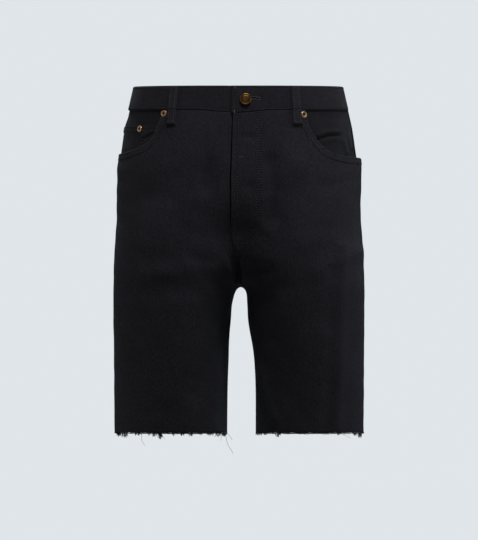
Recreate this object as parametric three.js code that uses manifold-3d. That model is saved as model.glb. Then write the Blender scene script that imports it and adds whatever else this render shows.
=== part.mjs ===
// Black cut-off denim shorts with five pockets, buttoned and filled out as if worn, with nobody in them.
// Millimetres, +Z up. The front faces -Y and the wearer's left side is +X.
// The origin is the centre of the waistband at its mid height, where a wearer holds the shorts up.

import * as THREE from 'three';
import { mergeVertices } from 'three/addons/utils/BufferGeometryUtils.js';
import Module from 'manifold-3d';

const wasm = await Module();
wasm.setup();

// Driving sizes
const WAIST_TOP = 18;
const CROTCH = -272;
const HEM = -482.4;
const SIDE_LENGTH = WAIST_TOP - HEM;
const GAP = 0.3;
const DENIM = 1.5;
const LINING_CLOTH = 1.2;
const BAND = {
  thickness: 3, face: 0.8, seam: -16.7, dip: 2, notch: 3.2, notchFrom: 0.76, overlap: 7.5, underlap: 32,
  sinkFrom: 20, sinkTo: 9, columns: 58, rows: 2,
};
const YOKE = { side: -46, centre: -76 };
const SIDE_SEAM_TURN = THREE.MathUtils.degToRad(11);
const RIGHT = -1;
const LEFT = 1;
const MM = 1 / 236;
const SEAM = 0.5 * GAP * MM;
const LAYER_CLEAR = 0.6;
const FAR = 260;

// Level sections of one half of the body: the outer edge, the half's own centre, the depths in
// front of and behind the middle line, the middle line itself, the roundness and the blend of the halves.
const SECTIONS = [
  { z: 18, outer: 150.6, centre: 28, front: 114, back: 119, middle: 0, power: 2.2, blend: 7 },
  { z: -17, outer: 158.6, centre: 28, front: 116, back: 125, middle: 0, power: 2.2, blend: 7 },
  { z: -30, outer: 161.5, centre: 28, front: 117, back: 129, middle: 0, power: 2.2, blend: 7 },
  { z: -45, outer: 164.6, centre: 28, front: 118, back: 133, middle: 0, power: 2.2, blend: 7 },
  { z: -78, outer: 168.8, centre: 29, front: 119, back: 141, middle: 0, power: 2.25, blend: 7 },
  { z: -104, outer: 172.5, centre: 30, front: 120, back: 146, middle: 0, power: 2.3, blend: 8 },
  { z: -130, outer: 175.4, centre: 33, front: 120, back: 149, middle: 0, power: 2.3, blend: 10 },
  { z: -173, outer: 176.2, centre: 43, front: 119, back: 150, middle: 0, power: 2.3, blend: 16 },
  { z: -205, outer: 178.6, centre: 58, front: 117, back: 147, middle: 0, power: 2.3, blend: 20 },
  { z: -235, outer: 180.4, centre: 76, front: 114, back: 140, middle: 0, power: 2.3, blend: 20 },
  { z: -255, outer: 180.8, centre: 86.5, front: 111.5, back: 133, middle: 0, power: 2.3, blend: 22 },
  { z: -272, outer: 181.0, centre: 93.5, front: 109, back: 127, middle: 0, power: 2.3, blend: 24 },
  { z: -295, outer: 181.2, centre: 96.4, front: 107, back: 121, middle: 1, power: 2.25, blend: 18 },
  { z: -320, outer: 181.2, centre: 97.3, front: 104.5, back: 116, middle: 2, power: 2.2, blend: 10 },
  { z: -361, outer: 180.9, centre: 99.6, front: 99, back: 109, middle: 3, power: 2.2, blend: 5 },
  { z: -413, outer: 180.2, centre: 100.6, front: 92, back: 100, middle: 4, power: 2.2, blend: 4 },
  { z: -486, outer: 179.8, centre: 100.7, front: 84, back: 90, middle: 5, power: 2.2, blend: 4 },
];
const COLUMNS = ['outer', 'centre', 'front', 'back', 'middle', 'power', 'blend'];

// Sideways lean of the middle of the garment at each height
const LEAN = [
  { z: 18, x: -3 },
  { z: -120, x: -6 },
  { z: -205, x: -5 },
  { z: -272, x: 2.5 },
  { z: -300, x: 1 },
  { z: -330, x: 1 },
  { z: -380, x: 3.7 },
  { z: -486, x: 3.7 },
];
const LEAN_REACH = 185;

// The seat seam's hook under the body, from the straight rise round to the crotch point
const HOOK = {
  front: { run: 80, rise: 40, sign: -1 },
  back: { run: 130, rise: 65, sign: 1 },
};
const INSEAM_EASE = 1.3;

// Pocket mouths, from the waistband down and out to the edge of the front view
const MOUTH = {
  [RIGHT]: [
    { x: 108.5, z: -18 },
    { x: 113, z: -29 },
    { x: 117.2, z: -40.2 },
    { x: 124.4, z: -57.9 },
    { x: 132.4, z: -65 },
    { x: 143.7, z: -71.6 },
    { x: 155.9, z: -76.2 },
    { x: 166, z: -79.3 },
  ],
  [LEFT]: [
    { x: 95.5, z: -18 },
    { x: 97.6, z: -30 },
    { x: 103, z: -44 },
    { x: 110.8, z: -57 },
    { x: 121, z: -70.2 },
    { x: 131.2, z: -77.3 },
    { x: 147, z: -82.6 },
    { x: 163, z: -85.6 },
  ],
};
const MOUTH_END = { [RIGHT]: -81, [LEFT]: -87.5 };
const GAPE = {
  [RIGHT]: { lift: 1.2, fade: 34, pocket: 1.9 },
  [LEFT]: { lift: 5.8, fade: 36, pocket: 0 },
};
// How the front's stand-off over the pockets fades: places across the cloth, and depths down it
const STAND_OFF = {
  inner: 0.44, full: 0.16, atSeam: 0.3, seam: -0.05, pastSeam: 0.1, behind: 0.05,
  pocketInner: 0.62, pocketFull: 0.48, pocketTop: 40, pocketTopFull: 58, pocketEnd: 142, pocketEndFull: 118,
};
const FACING = { drop: 22, rows: 6, sink: 0.8, sinkFrom: -1, sinkTo: 9, follow: 0.5 };
const COIN = { top: -38.4, drop: 16, rows: 4, thinner: 0.2 };

// The fly: the left front laps over the right down to the depth where both meet at the middle
const FLY = {
  lap: 4.5, lapFull: 215, lapEnd: 250, underlap: 12, underlapFull: 218, underlapEnd: 246,
  under: 14, clear: 1.5, sinkFull: 252, sinkEnd: 272,
};

// Largest folds, from one point to another in the front or back view, in width and height
const FOLDS = [
  { face: 1, x: -10, z: -240, toX: -134, toZ: -254, width: 13, height: 3.2 },
  { face: 1, x: -20, z: -326, toX: -64, toZ: -424, width: 15, height: -4 },
  { face: 1, x: 24, z: -352, toX: 47, toZ: -440, width: 8, height: 2.4 },
  { face: 1, x: 40, z: -290, toX: 46, toZ: -345, width: 12, height: -2.5 },
  { face: 1, x: 52, z: -92, toX: 55, toZ: -172, width: 12, height: -2.4 },
  { face: 1, x: -38, z: -96, toX: -42, toZ: -126, width: 12, height: -1.8 },
  { face: 1, x: 112, z: -248, toX: 168, toZ: -222, width: 12, height: 2 },
  { face: -1, x: -22, z: -272, toX: -120, toZ: -252, width: 14, height: -3.5 },
  { face: -1, x: 24, z: -280, toX: 128, toZ: -262, width: 14, height: -3.2 },
  { face: -1, x: -40, z: -318, toX: -96, toZ: -392, width: 15, height: 3 },
  { face: -1, x: 44, z: -326, toX: 104, toZ: -410, width: 14, height: -3 },
];

// Belt loops: the strip's centre at its two ends, in the front view or as a place round the back
const LOOP = {
  width: 13, thickness: 1.8, top: 17.4, bottom: -38.5, bow: 1.3, fullness: 0.8, clear: 0.1, rows: 9,
};
const FRONT_LOOPS = [
  { name: 'belt_loop_front_right', side: RIGHT, topX: 92.1, bottomX: 97.3 },
  { name: 'belt_loop_front_left', side: LEFT, topX: 79.9, bottomX: 83.8 },
];
const BACK_LOOPS = [
  { name: 'belt_loop_side_right', side: RIGHT, phi: -0.3 },
  { name: 'belt_loop_side_left', side: LEFT, phi: -0.3 },
  { name: 'belt_loop_back', side: LEFT, phi: -1 },
];

const BACK_POCKET = {
  top: -92, side: -198, point: -214, inner: 0.79, outer: 0.2, hem: 2.2, slant: 0.018, clear: 0.2, rows: 6,
};

// Metal profiles: radius, then height, each as a share of the piece's own or in millimetres
const RIVET = { radius: 4.9, height: 1.5, clear: 0.45, bevel: 0.3, edge: 0.45, segments: 14, coinSink: 0.35 };
const RIVET_TOP = [[0.86, 1], [0.5, 0.95], [0.42, 0.6], [0.2, 0.75], [0, 0.85]];
const BUTTON = { x: 9.6, z: -0.7, radius: 8.6, shank: 3.2, stand: 1.6, bevel: 0.7, segments: 24 };
const BUTTON_TOP = [[1, 0.8], [0.95, 2], [0.8, 2.7], [0.72, 2.35], [0.4, 2.5], [0.34, 2.9], [0, 3.4]];
const MOUTH_RIVETS = { [RIGHT]: { x: 107.6, z: -22.3 }, [LEFT]: { x: 94.2, z: -23.2 } };
const COIN_RIVETS = { inner: { x: 142.8, z: -44 }, outer: { phi: 0.085, z: -44.4 } };

// Raw hem: a narrow strip of loose weft, with tufts and single threads that hang from it
const FRAY = {
  strip: 1.8, thickness: 1.3, columns: 40, thread: 0.55, tip: 0.55, tuft: 1.2, tuftLean: -1.6,
  sideShorter: 0.45, nextShorter: 0.2, sag: 1.6, longDrop: 9, hemFrom: 0.12, hemTo: 0.985,
};
const BACK_FRAY = { tufts: 9, from: 0.06, reach: 0.9, uneven: 0.35, step: 0.011, lean: 0.8, leanStep: 0.6 };
const TUFTS = {
  [RIGHT]: [
    { x: -172, spread: 7, drop: 6, count: 3 },
    { x: -164, spread: 10, drop: 7.5, count: 5 },
    { x: -145, spread: 9, drop: 5, count: 3 },
    { x: -129, spread: 3, drop: 4, count: 1 },
    { x: -115, spread: 10, drop: 9.5, count: 5 },
    { x: -95, spread: 4, drop: 5, count: 2 },
    { x: -82, spread: 6, drop: 5, count: 2 },
    { x: -70, spread: 7, drop: 5.5, count: 3 },
    { x: -51, spread: 18, drop: 3.5, count: 5 },
    { x: -27, spread: 14, drop: 7, count: 5 },
  ],
  [LEFT]: [
    { x: 33, spread: 14, drop: 5, count: 5 },
    { x: 56, spread: 9, drop: 6, count: 3 },
    { x: 92, spread: 12, drop: 2.5, count: 3 },
    { x: 124, spread: 12, drop: 2.5, count: 3 },
    { x: 172, spread: 10, drop: 8, count: 5 },
  ],
};
const LOOSE_THREADS = {
  [RIGHT]: [
    { x: -140.5, reach: 3, drop: 20 },
    { x: -21, reach: 10, drop: 33 },
    { x: -18, reach: 8, drop: 13 },
  ],
  [LEFT]: [{ x: 148, reach: 12, drop: 10 }],
};

// Plain maths
const lerp = THREE.MathUtils.lerp;
const smooth = (edge0, edge1, value) => {
  const t = THREE.MathUtils.clamp((value - edge0) / (edge1 - edge0), 0, 1);
  return t * t * (3 - 2 * t);
};

function bisect(test, low, high) {
  for (let i = 0; i < 34; i += 1) {
    const middle = 0.5 * (low + high);
    if (test(middle)) high = middle;
    else low = middle;
  }
  return 0.5 * (low + high);
}

// Smooth curve through a table's column, with the table ordered by falling z
function column(table, key, z) {
  const last = table.length - 1;
  let i = 0;
  while (i < last - 1 && z < table[i + 1].z) i += 1;
  const slope = (k) => {
    const a = table[Math.max(k - 1, 0)];
    const b = table[Math.min(k + 1, last)];
    return (b[key] - a[key]) / (b.z - a.z);
  };
  const from = table[i];
  const to = table[i + 1];
  const span = to.z - from.z;
  const t = THREE.MathUtils.clamp((z - from.z) / span, 0, 1);
  const t2 = t * t;
  const t3 = t2 * t;
  return (2 * t3 - 3 * t2 + 1) * from[key] + (t3 - 2 * t2 + t) * span * slope(i)
    + (3 * t2 - 2 * t3) * to[key] + (t3 - t2) * span * slope(i + 1);
}

// The body's surface: two half ovals in each level section, blended where they meet
function section(z) {
  const row = {};
  for (const key of COLUMNS) row[key] = column(SECTIONS, key, z);
  row.width = row.outer - row.centre;
  return row;
}

function oval(row, x, y) {
  const depth = y < row.middle ? row.front : row.back;
  const across = (Math.abs(x - row.centre) / row.width) ** row.power;
  const along = (Math.abs(y - row.middle) / depth) ** row.power;
  return ((across + along) ** (1 / row.power) - 1) * row.width;
}

function body(row, x, y) {
  const own = oval(row, x, y);
  const other = oval(row, -x, y);
  const meet = Math.max(row.blend - Math.abs(own - other), 0);
  return Math.min(own, other) - (meet * meet) / (4 * row.blend);
}

function hookPoint(hook) {
  return WAIST_TOP - CROTCH - hook.rise + hook.run;
}

function endHeight(hook, depth) {
  const point = hookPoint(hook);
  if (depth <= point - hook.run) return WAIST_TOP - depth;
  if (depth <= point) return CROTCH + hook.rise * ((point - depth) / hook.run) ** 2;
  return CROTCH + (HEM - CROTCH) * ((depth - point) / (SIDE_LENGTH - point)) ** INSEAM_EASE;
}

function endAngle(hook, depth) {
  if (depth >= hookPoint(hook)) return hook.sign * Math.PI;
  const row = section(endHeight(hook, depth));
  const y = bisect((r) => body(row, 0, row.middle + hook.sign * r) > 0, 0, 200);
  return Math.atan2(hook.sign * y, -row.centre);
}

// phi is 0 at the side seam, 1 at the centre front or inseam and -1 at the centre back or inseam.
// depth runs down the side seam from the top of the waistband.
function onBody(phi, depth) {
  const hook = phi >= 0 ? HOOK.front : HOOK.back;
  const across = Math.abs(phi);
  const z = lerp(WAIST_TOP - depth, endHeight(hook, depth), smooth(0, 1, across));
  const angle = lerp(SIDE_SEAM_TURN, endAngle(hook, depth), across);
  const row = section(z);
  const reach = (r) => [row.centre + r * Math.cos(angle), row.middle + r * Math.sin(angle)];
  const middlePlane = Math.cos(angle) < 0 ? -row.centre / Math.cos(angle) : FAR;
  const r = bisect((length) => body(row, ...reach(length)) > 0, 1, Math.min(middlePlane, FAR));
  return new THREE.Vector3(...reach(r), z);
}

function outward(p) {
  const step = 0.4;
  const row = section(p.z);
  return new THREE.Vector3(
    body(row, p.x + step, p.y) - body(row, p.x - step, p.y),
    body(row, p.x, p.y + step) - body(row, p.x, p.y - step),
    body(section(p.z + step), p.x, p.y) - body(section(p.z - step), p.x, p.y),
  ).normalize();
}

function foldHeight(x, z, face) {
  let height = 0;
  for (const fold of FOLDS) {
    if (fold.face * face < 0) continue;
    const run = new THREE.Vector2(fold.toX - fold.x, fold.toZ - fold.z);
    const away = new THREE.Vector2(x - fold.x, z - fold.z);
    const t = THREE.MathUtils.clamp(away.dot(run) / run.lengthSq(), 0, 1);
    const distance = away.addScaledVector(run, -t).length() / fold.width;
    height += fold.height * Math.exp(-distance * distance);
  }
  return height;
}

// A point of the garment at a height above the body's surface, with the sides past the middle mirrored
function place(side, phi, depth, height) {
  let half = side;
  let turn = phi;
  if (phi > 1) {
    half = -side;
    turn = 2 - phi;
  } else if (phi < -1) {
    half = -side;
    turn = -2 - phi;
  }
  const p = onBody(turn, depth);
  const fold = foldHeight(half * p.x, p.z, turn >= 0 ? 1 : -1) * smooth(0, 0.12, 1 - Math.abs(turn));
  p.addScaledVector(outward(p), height + fold);
  const lean = column(LEAN, 'x', p.z) * (1 - (p.x / LEAN_REACH) ** 2);
  return new THREE.Vector3(half * p.x + lean, p.y, p.z);
}

// The place round the front whose front-view distance from the middle is x
function phiAtX(side, x, z) {
  const silhouette = 0.1;
  return bisect((phi) => side * place(side, phi, WAIST_TOP - z, 0).x < x, silhouette, 1);
}

// A closed wall from a grid of places; at(u, v) gives phi, depth, the inner face's height, a thickness
// and, where it isn't the wall's own, the side
function wall(side, columns, rows, at) {
  const positions = [];
  for (const layer of [1, 0]) {
    for (let i = 0; i <= rows; i += 1) {
      for (let j = 0; j <= columns; j += 1) {
        const [phi, depth, height, thickness, half = side] = at(j / columns, i / rows);
        positions.push(...place(half, phi, depth, height + layer * thickness));
      }
    }
  }
  return closeWall(positions, columns, rows);
}

function closeWall(positions, columns, rows) {
  const stride = columns + 1;
  const layer = stride * (rows + 1);
  const index = [];
  const quad = (a, b, c, d) => index.push(a, b, c, a, c, d);
  for (let i = 0; i < rows; i += 1) {
    for (let j = 0; j < columns; j += 1) {
      const a = i * stride + j;
      quad(a, a + stride, a + stride + 1, a + 1);
      quad(layer + a, layer + a + 1, layer + a + stride + 1, layer + a + stride);
    }
  }
  const rim = [];
  for (let j = 0; j < columns; j += 1) rim.push(j);
  for (let i = 0; i < rows; i += 1) rim.push(i * stride + columns);
  for (let j = columns; j > 0; j -= 1) rim.push(rows * stride + j);
  for (let i = rows; i > 0; i -= 1) rim.push(i * stride);
  rim.forEach((a, k) => {
    const b = rim[(k + 1) % rim.length];
    quad(a, b, layer + b, layer + a);
  });
  return outwardGeometry(positions, index);
}

function outwardGeometry(positions, index) {
  const corner = (k) => new THREE.Vector3().fromArray(positions, 3 * index[k]);
  let volume = 0;
  for (let k = 0; k < index.length; k += 3) {
    volume += corner(k).dot(corner(k + 1).cross(corner(k + 2)));
  }
  if (volume < 0) index.reverse();
  const geometry = new THREE.BufferGeometry();
  geometry.setAttribute('position', new THREE.Float32BufferAttribute(positions, 3));
  geometry.setIndex(index);
  return geometry;
}

// Seams and edges, as depths or places
function bandSeam(phi) {
  const across = Math.max(phi, 0);
  const notch = smooth(BAND.notchFrom, 1, Math.min(across, 2 - across));
  return WAIST_TOP - BAND.seam + BAND.dip * across * across + BAND.notch * notch;
}

function yokeSeam(phi) {
  return WAIST_TOP - lerp(YOKE.side, YOKE.centre, Math.min(-phi, 1));
}

const mouthCurves = {};
for (const side of [RIGHT, LEFT]) {
  const points = MOUTH[side].map(({ x, z }) => new THREE.Vector2(phiAtX(side, x, z), WAIST_TOP - z));
  points.push(new THREE.Vector2(SEAM, WAIST_TOP - MOUTH_END[side]));
  mouthCurves[side] = new THREE.SplineCurve(points);
}

// How far the front stands off the body round the pocket mouth
function mouthLift(side, phi, depth) {
  const gape = GAPE[side];
  const end = WAIST_TOP - MOUTH_END[side];
  const across = smooth(STAND_OFF.inner, STAND_OFF.full, phi)
    * lerp(STAND_OFF.atSeam, 1, smooth(STAND_OFF.seam, STAND_OFF.pastSeam, phi));
  const behind = phi < 0 ? Math.exp(phi / STAND_OFF.behind) : 1;
  const below = phi < 0 ? Math.abs(depth - end) : Math.max(depth - end, 0);
  const open = gape.lift * across * behind * Math.exp(-((below / gape.fade) ** 2));
  const overPocket = gape.pocket * behind * smooth(STAND_OFF.pocketTop, STAND_OFF.pocketTopFull, depth)
    * smooth(STAND_OFF.pocketInner, STAND_OFF.pocketFull, phi)
    * smooth(STAND_OFF.pocketEnd, STAND_OFF.pocketEndFull, depth);
  return open + overPocket;
}

// Where the wearer's right front goes under the fly
function flyEdge(depth) {
  return 1 + FLY.lap * MM * smooth(FLY.lapEnd, FLY.lapFull, depth);
}

function underlap(depth) {
  return lerp(-GAP, FLY.underlap, smooth(FLY.underlapEnd, FLY.underlapFull, depth)) * MM;
}

function frontHeight(side, phi, depth) {
  const lift = mouthLift(side, phi, depth);
  if (side === LEFT) return lift - 0.5 * DENIM;
  const under = smooth(flyEdge(depth) + FLY.under * MM, flyEdge(depth) + FLY.clear * MM, 2 - phi)
    * smooth(FLY.sinkEnd, FLY.sinkFull, depth);
  return lift - 0.5 * DENIM - (DENIM + LAYER_CLEAR) * under;
}

const FRONT = { mouthColumns: 10, midColumns: 5, hipRows: 13, legRows: 8, rivetLine: 0.9, flyLine: 0.975 };
const BACK = { columns: 13, hipRows: 12, legRows: 7, yokeRows: 3 };
const LEG_ROW_EASE = 1.4;

// Rows of a panel, with one that meets the crotch point
function rowDepth(panel, hook, top, v) {
  const row = v * (panel.hipRows + panel.legRows) - panel.hipRows;
  if (row <= 0) return lerp(hookPoint(hook), top, -row / panel.hipRows);
  return lerp(hookPoint(hook), SIDE_LENGTH, (row / panel.legRows) ** LEG_ROW_EASE);
}

// The front's upright lines, which the pieces under the mouth share. The last one is its open edge.
function frontLine(side, k) {
  const corner = mouthCurves[side].getPoint(0).x;
  if (k <= FRONT.mouthColumns) return lerp(SEAM, corner, k / FRONT.mouthColumns);
  const past = k - FRONT.mouthColumns;
  if (past <= FRONT.midColumns) return lerp(corner, FRONT.rivetLine, past / FRONT.midColumns);
  return FRONT.flyLine;
}

// Depth of the mouth's edge at a place round the front
function mouthDepth(side, phi) {
  const curve = mouthCurves[side];
  return curve.getPoint(bisect((t) => curve.getPoint(t).x < phi, 0, 1)).y;
}

function frontPanel(side) {
  const columns = FRONT.mouthColumns + FRONT.midColumns + 2;
  const corner = mouthCurves[side].getPoint(0).x;
  return wall(side, columns, FRONT.hipRows + FRONT.legRows, (u, v) => {
    const k = Math.round(u * columns);
    const line = frontLine(side, Math.min(k, columns - 1));
    const top = line < corner ? mouthDepth(side, line) : bandSeam(line) + GAP;
    const depth = rowDepth(FRONT, HOOK.front, top, v);
    const edge = side === LEFT ? flyEdge(depth) : 2 - flyEdge(depth) + underlap(depth);
    const phi = k === columns ? edge - SEAM : line;
    return [phi, depth, frontHeight(side, phi, depth), DENIM];
  });
}

function backPanel(side) {
  return wall(side, BACK.columns, BACK.hipRows + BACK.legRows, (u, v) => {
    const phi = -lerp(SEAM, 1 - SEAM, u);
    const depth = rowDepth(BACK, HOOK.back, yokeSeam(phi) + 0.5 * GAP, v);
    return [phi, depth, mouthLift(side, phi, depth) - 0.5 * DENIM, DENIM];
  });
}

function yoke(side) {
  return wall(side, BACK.columns, BACK.yokeRows, (u, v) => {
    const phi = -lerp(SEAM, 1 - SEAM, u);
    const depth = lerp(bandSeam(phi) + GAP, yokeSeam(phi) - 0.5 * GAP, v);
    return [phi, depth, mouthLift(side, phi, depth) - 0.5 * DENIM, DENIM];
  });
}

// The pocket facing closes the mouth from behind and hangs on under the front
function facingHeight(side, phi, depth) {
  const hidden = smooth(FACING.sinkFrom, FACING.sinkTo, depth - mouthDepth(side, phi));
  const follow = FACING.follow * Math.max(mouthLift(side, phi, depth) - GAPE[side].pocket, 0);
  return hidden * (follow - FACING.sink) - 0.5 * DENIM - GAP - LINING_CLOTH;
}

function pocketFacing(side) {
  const columns = FRONT.mouthColumns + 1;
  return wall(side, columns, FACING.rows, (u, v) => {
    const phi = frontLine(side, Math.round(u * columns));
    const depth = lerp(bandSeam(phi) + GAP, mouthDepth(side, phi) + FACING.drop, v);
    return [phi, depth, facingHeight(side, phi, depth), LINING_CLOTH];
  });
}

// The coin pocket lies on the right-hand facing, right across it, and goes under the front
function coinPocket() {
  const columns = FRONT.mouthColumns;
  return wall(RIGHT, columns, COIN.rows, (u, v) => {
    const column = Math.round(u * columns);
    const phi = frontLine(RIGHT, column);
    const top = WAIST_TOP - COIN.top;
    const bottom = Math.max(mouthDepth(RIGHT, phi), top) + COIN.drop;
    const depth = lerp(top, bottom, v);
    const facing = facingHeight(RIGHT, phi, depth) + LINING_CLOTH;
    return [phi, depth, facing + GAP, LINING_CLOTH - COIN.thinner];
  });
}

// A back pocket keeps the back's own columns between its two edges
function backPocket(side) {
  const line = (k) => -lerp(SEAM, 1 - SEAM, k / BACK.columns);
  const first = Math.ceil(BACK_POCKET.outer * BACK.columns + BACK_POCKET.clear);
  const last = Math.floor(BACK_POCKET.inner * BACK.columns - BACK_POCKET.clear);
  const columns = last - first + 2;
  return wall(side, columns, BACK_POCKET.rows, (u, v) => {
    const column = Math.round(u * columns);
    const slant = BACK_POCKET.slant * (v - 0.5);
    let phi = line(first + column - 1);
    if (column === 0) phi = -BACK_POCKET.outer - slant;
    if (column === columns) phi = slant - BACK_POCKET.inner;
    const across = (-phi - BACK_POCKET.outer) / (BACK_POCKET.inner - BACK_POCKET.outer);
    const point = (BACK_POCKET.side - BACK_POCKET.point) * (1 - Math.abs(2 * across - 1));
    const depth = lerp(WAIST_TOP - BACK_POCKET.top, WAIST_TOP - BACK_POCKET.side + point, v);
    return [phi, depth, 0.5 * DENIM + LAYER_CLEAR, v === 0 ? BACK_POCKET.hem : DENIM];
  });
}

// The waistband runs from its buttoned end under the fly, round the back, to the end with the buttonhole
function waistband() {
  const start = -2 - BAND.underlap * MM;
  const end = 2 + BAND.overlap * MM;
  const under = BAND.thickness + GAP;
  return wall(RIGHT, BAND.columns, BAND.rows, (u, v) => {
    const q = lerp(start, end, u);
    const phi = -1 + Math.abs(q);
    const sunk = q < 0 ? under * smooth(1 - BAND.sinkFrom * MM, 1 - BAND.sinkTo * MM, phi) : 0;
    const depth = lerp(0, bandSeam(phi), v);
    return [phi, depth, BAND.face - BAND.thickness - sunk, BAND.thickness, q < 0 ? RIGHT : LEFT];
  });
}

// What a belt loop lies on: the waistband, then the front or the yoke
function loopSeat(side, phi, depth) {
  const cloth = phi < 0 ? 0.5 * DENIM : frontHeight(side, phi, depth) + DENIM;
  return Math.max(BAND.face, cloth) + GAP + LOOP.clear;
}

function beltLoop(side, phiAt) {
  const half = 0.5 * LOOP.width;
  return wall(side, 2, LOOP.rows, (u, v) => {
    const z = lerp(LOOP.top, LOOP.bottom, v);
    const phi = phiAt(v, z) + lerp(-half, half, u) * MM;
    const depth = WAIST_TOP - z;
    const bow = LOOP.bow * Math.sin(Math.PI * v) ** LOOP.fullness;
    return [phi, depth, loopSeat(side, phi, depth) + bow, LOOP.thickness];
  });
}

// A turned metal piece that stands on the cloth, its axis along the cloth's normal
function turned(profile, at, normal, segments) {
  const geometry = new THREE.LatheGeometry(profile.map(([r, y]) => new THREE.Vector2(r, y)), segments);
  const up = new THREE.Quaternion().setFromUnitVectors(new THREE.Vector3(0, 1, 0), normal);
  geometry.applyQuaternion(up);
  geometry.translate(at.x, at.y, at.z);
  geometry.deleteAttribute('normal');
  geometry.deleteAttribute('uv');
  const merged = mergeVertices(geometry, 1e-4);
  const whole = [];
  const { index } = merged;
  for (let k = 0; k < index.count; k += 3) {
    const face = [index.getX(k), index.getX(k + 1), index.getX(k + 2)];
    if (new Set(face).size === 3) whole.push(...face);
  }
  return outwardGeometry(Array.from(merged.attributes.position.array), whole);
}

function seatFrame(side, phi, depth, height) {
  const at = place(side, phi, depth, height);
  const normal = place(side, phi, depth, height + 1).sub(at).normalize();
  return { at, normal };
}

function rivet(side, phi, z, height) {
  const { at, normal } = seatFrame(side, phi, WAIST_TOP - z, height + RIVET.clear);
  const profile = [
    [0, 0], [RIVET.radius - RIVET.bevel, 0], [RIVET.radius, RIVET.edge],
    ...RIVET_TOP.map(([out, up]) => [out * RIVET.radius, up * RIVET.height]),
  ];
  return turned(profile, at, normal, RIVET.segments);
}

function button() {
  const { radius, shank, stand } = BUTTON;
  const phi = phiAtX(LEFT, BUTTON.x, BUTTON.z);
  const { at, normal } = seatFrame(LEFT, phi, WAIST_TOP - BUTTON.z, BAND.face + GAP);
  const profile = [
    [0, 0], [shank, 0], [shank, stand], [radius - BUTTON.bevel, stand],
    ...BUTTON_TOP.map(([out, up]) => [out * radius, stand + up]),
  ];
  return turned(profile, at, normal, BUTTON.segments);
}

// The raw hem
function hemPoint(side, phi, height) {
  return place(side, phi, SIDE_LENGTH, height);
}

function toManifold(geometry) {
  return new wasm.Manifold(new wasm.Mesh({
    numProp: 3,
    vertProperties: new Float32Array(geometry.attributes.position.array),
    triVerts: new Uint32Array(geometry.index.array),
  }));
}

function fromManifold(solid) {
  const mesh = solid.getMesh();
  return outwardGeometry(Array.from(mesh.vertProperties), Array.from(mesh.triVerts));
}

function hemStrip(side) {
  const positions = [];
  const { columns } = FRAY;
  const corners = [[1, 0], [1, -FRAY.strip], [0, -FRAY.strip], [0, 0]];
  for (let j = 0; j < columns; j += 1) {
    const phi = lerp(-1, 1, j / columns);
    for (const [layer, drop] of corners) {
      const p = hemPoint(side, phi, (layer - 0.5) * FRAY.thickness);
      positions.push(p.x, p.y, HEM - GAP + drop);
    }
  }
  const index = [];
  for (let j = 0; j < columns; j += 1) {
    for (let k = 0; k < 4; k += 1) {
      const a = 4 * j + k;
      const b = 4 * j + ((k + 1) % 4);
      const c = 4 * ((j + 1) % columns) + ((k + 1) % 4);
      const d = 4 * ((j + 1) % columns) + k;
      index.push(a, b, c, a, c, d);
    }
  }
  return outwardGeometry(positions, index);
}

function strand(points, radius) {
  const positions = [];
  const last = points.length - 1;
  points.forEach((p, i) => {
    const r = radius * lerp(1, FRAY.tip, i / last);
    for (let k = 0; k < 3; k += 1) {
      const angle = (2 * Math.PI * k) / 3 + 0.4;
      positions.push(p.x + r * Math.cos(angle), p.y + r * Math.sin(angle), p.z);
    }
  });
  const index = [0, 1, 2];
  for (let i = 0; i < last; i += 1) {
    for (let k = 0; k < 3; k += 1) {
      const a = 3 * i + k;
      const b = 3 * i + ((k + 1) % 3);
      index.push(a, a + 3, b + 3, a, b + 3, b);
    }
  }
  index.push(3 * last, 3 * last + 2, 3 * last + 1);
  return outwardGeometry(positions, index);
}

function hemPhiAtX(side, x) {
  return bisect((phi) => side * hemPoint(side, phi, 0).x < side * x, FRAY.hemFrom, FRAY.hemTo);
}

function hangingThread(side, phi, lean, drop, radius) {
  const root = hemPoint(side, phi, 0);
  const top = HEM - GAP - 0.5 * FRAY.strip;
  const steps = drop > FRAY.longDrop ? 4 : 2;
  const points = [];
  for (let i = 0; i <= steps; i += 1) {
    const t = i / steps;
    points.push(new THREE.Vector3(root.x + lean * t ** FRAY.sag, root.y, lerp(top, HEM - drop, t)));
  }
  return strand(points, radius);
}

// A tuft's threads, spread across it, the ones at its sides and every second one shorter
function tuftThreads(side, { x, spread, drop, count }) {
  return Array.from({ length: count }, (_, k) => {
    const across = count > 1 ? k / (count - 1) - 0.5 : 0;
    const phi = hemPhiAtX(side, x + spread * across);
    const length = drop * (1 - FRAY.sideShorter * Math.abs(across) - FRAY.nextShorter * (k % 2));
    return hangingThread(side, phi, FRAY.tuftLean * across, length, FRAY.tuft * FRAY.thread);
  });
}

// The threads of the hidden back hem, like the front's
function backThreads(side) {
  const { tufts, from, reach, uneven, step, lean, leanStep } = BACK_FRAY;
  const threads = [];
  for (let tuft = 0; tuft < tufts; tuft += 1) {
    const middle = -(from + (reach * (tuft + uneven * Math.sin(5 * tuft + side))) / tufts);
    const count = 2 + ((tuft * 2 + (side > 0 ? 1 : 0)) % 3);
    for (let k = 0; k < count; k += 1) {
      const drop = 4 + ((tuft * 3 + k * 2) % 5);
      const radius = FRAY.tuft * FRAY.thread;
      threads.push(hangingThread(side, middle - step * k, lean - leanStep * k, drop, radius));
    }
  }
  return threads;
}

function hemFray(side) {
  const loose = LOOSE_THREADS[side].map(({ x, reach, drop }) => (
    hangingThread(side, hemPhiAtX(side, x), reach, drop, FRAY.thread)));
  const tufts = TUFTS[side].flatMap((tuft) => tuftThreads(side, tuft));
  let solid = toManifold(hemStrip(side));
  for (const thread of [...tufts, ...loose, ...backThreads(side)]) solid = solid.add(toManifold(thread));
  return fromManifold(solid);
}

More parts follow.
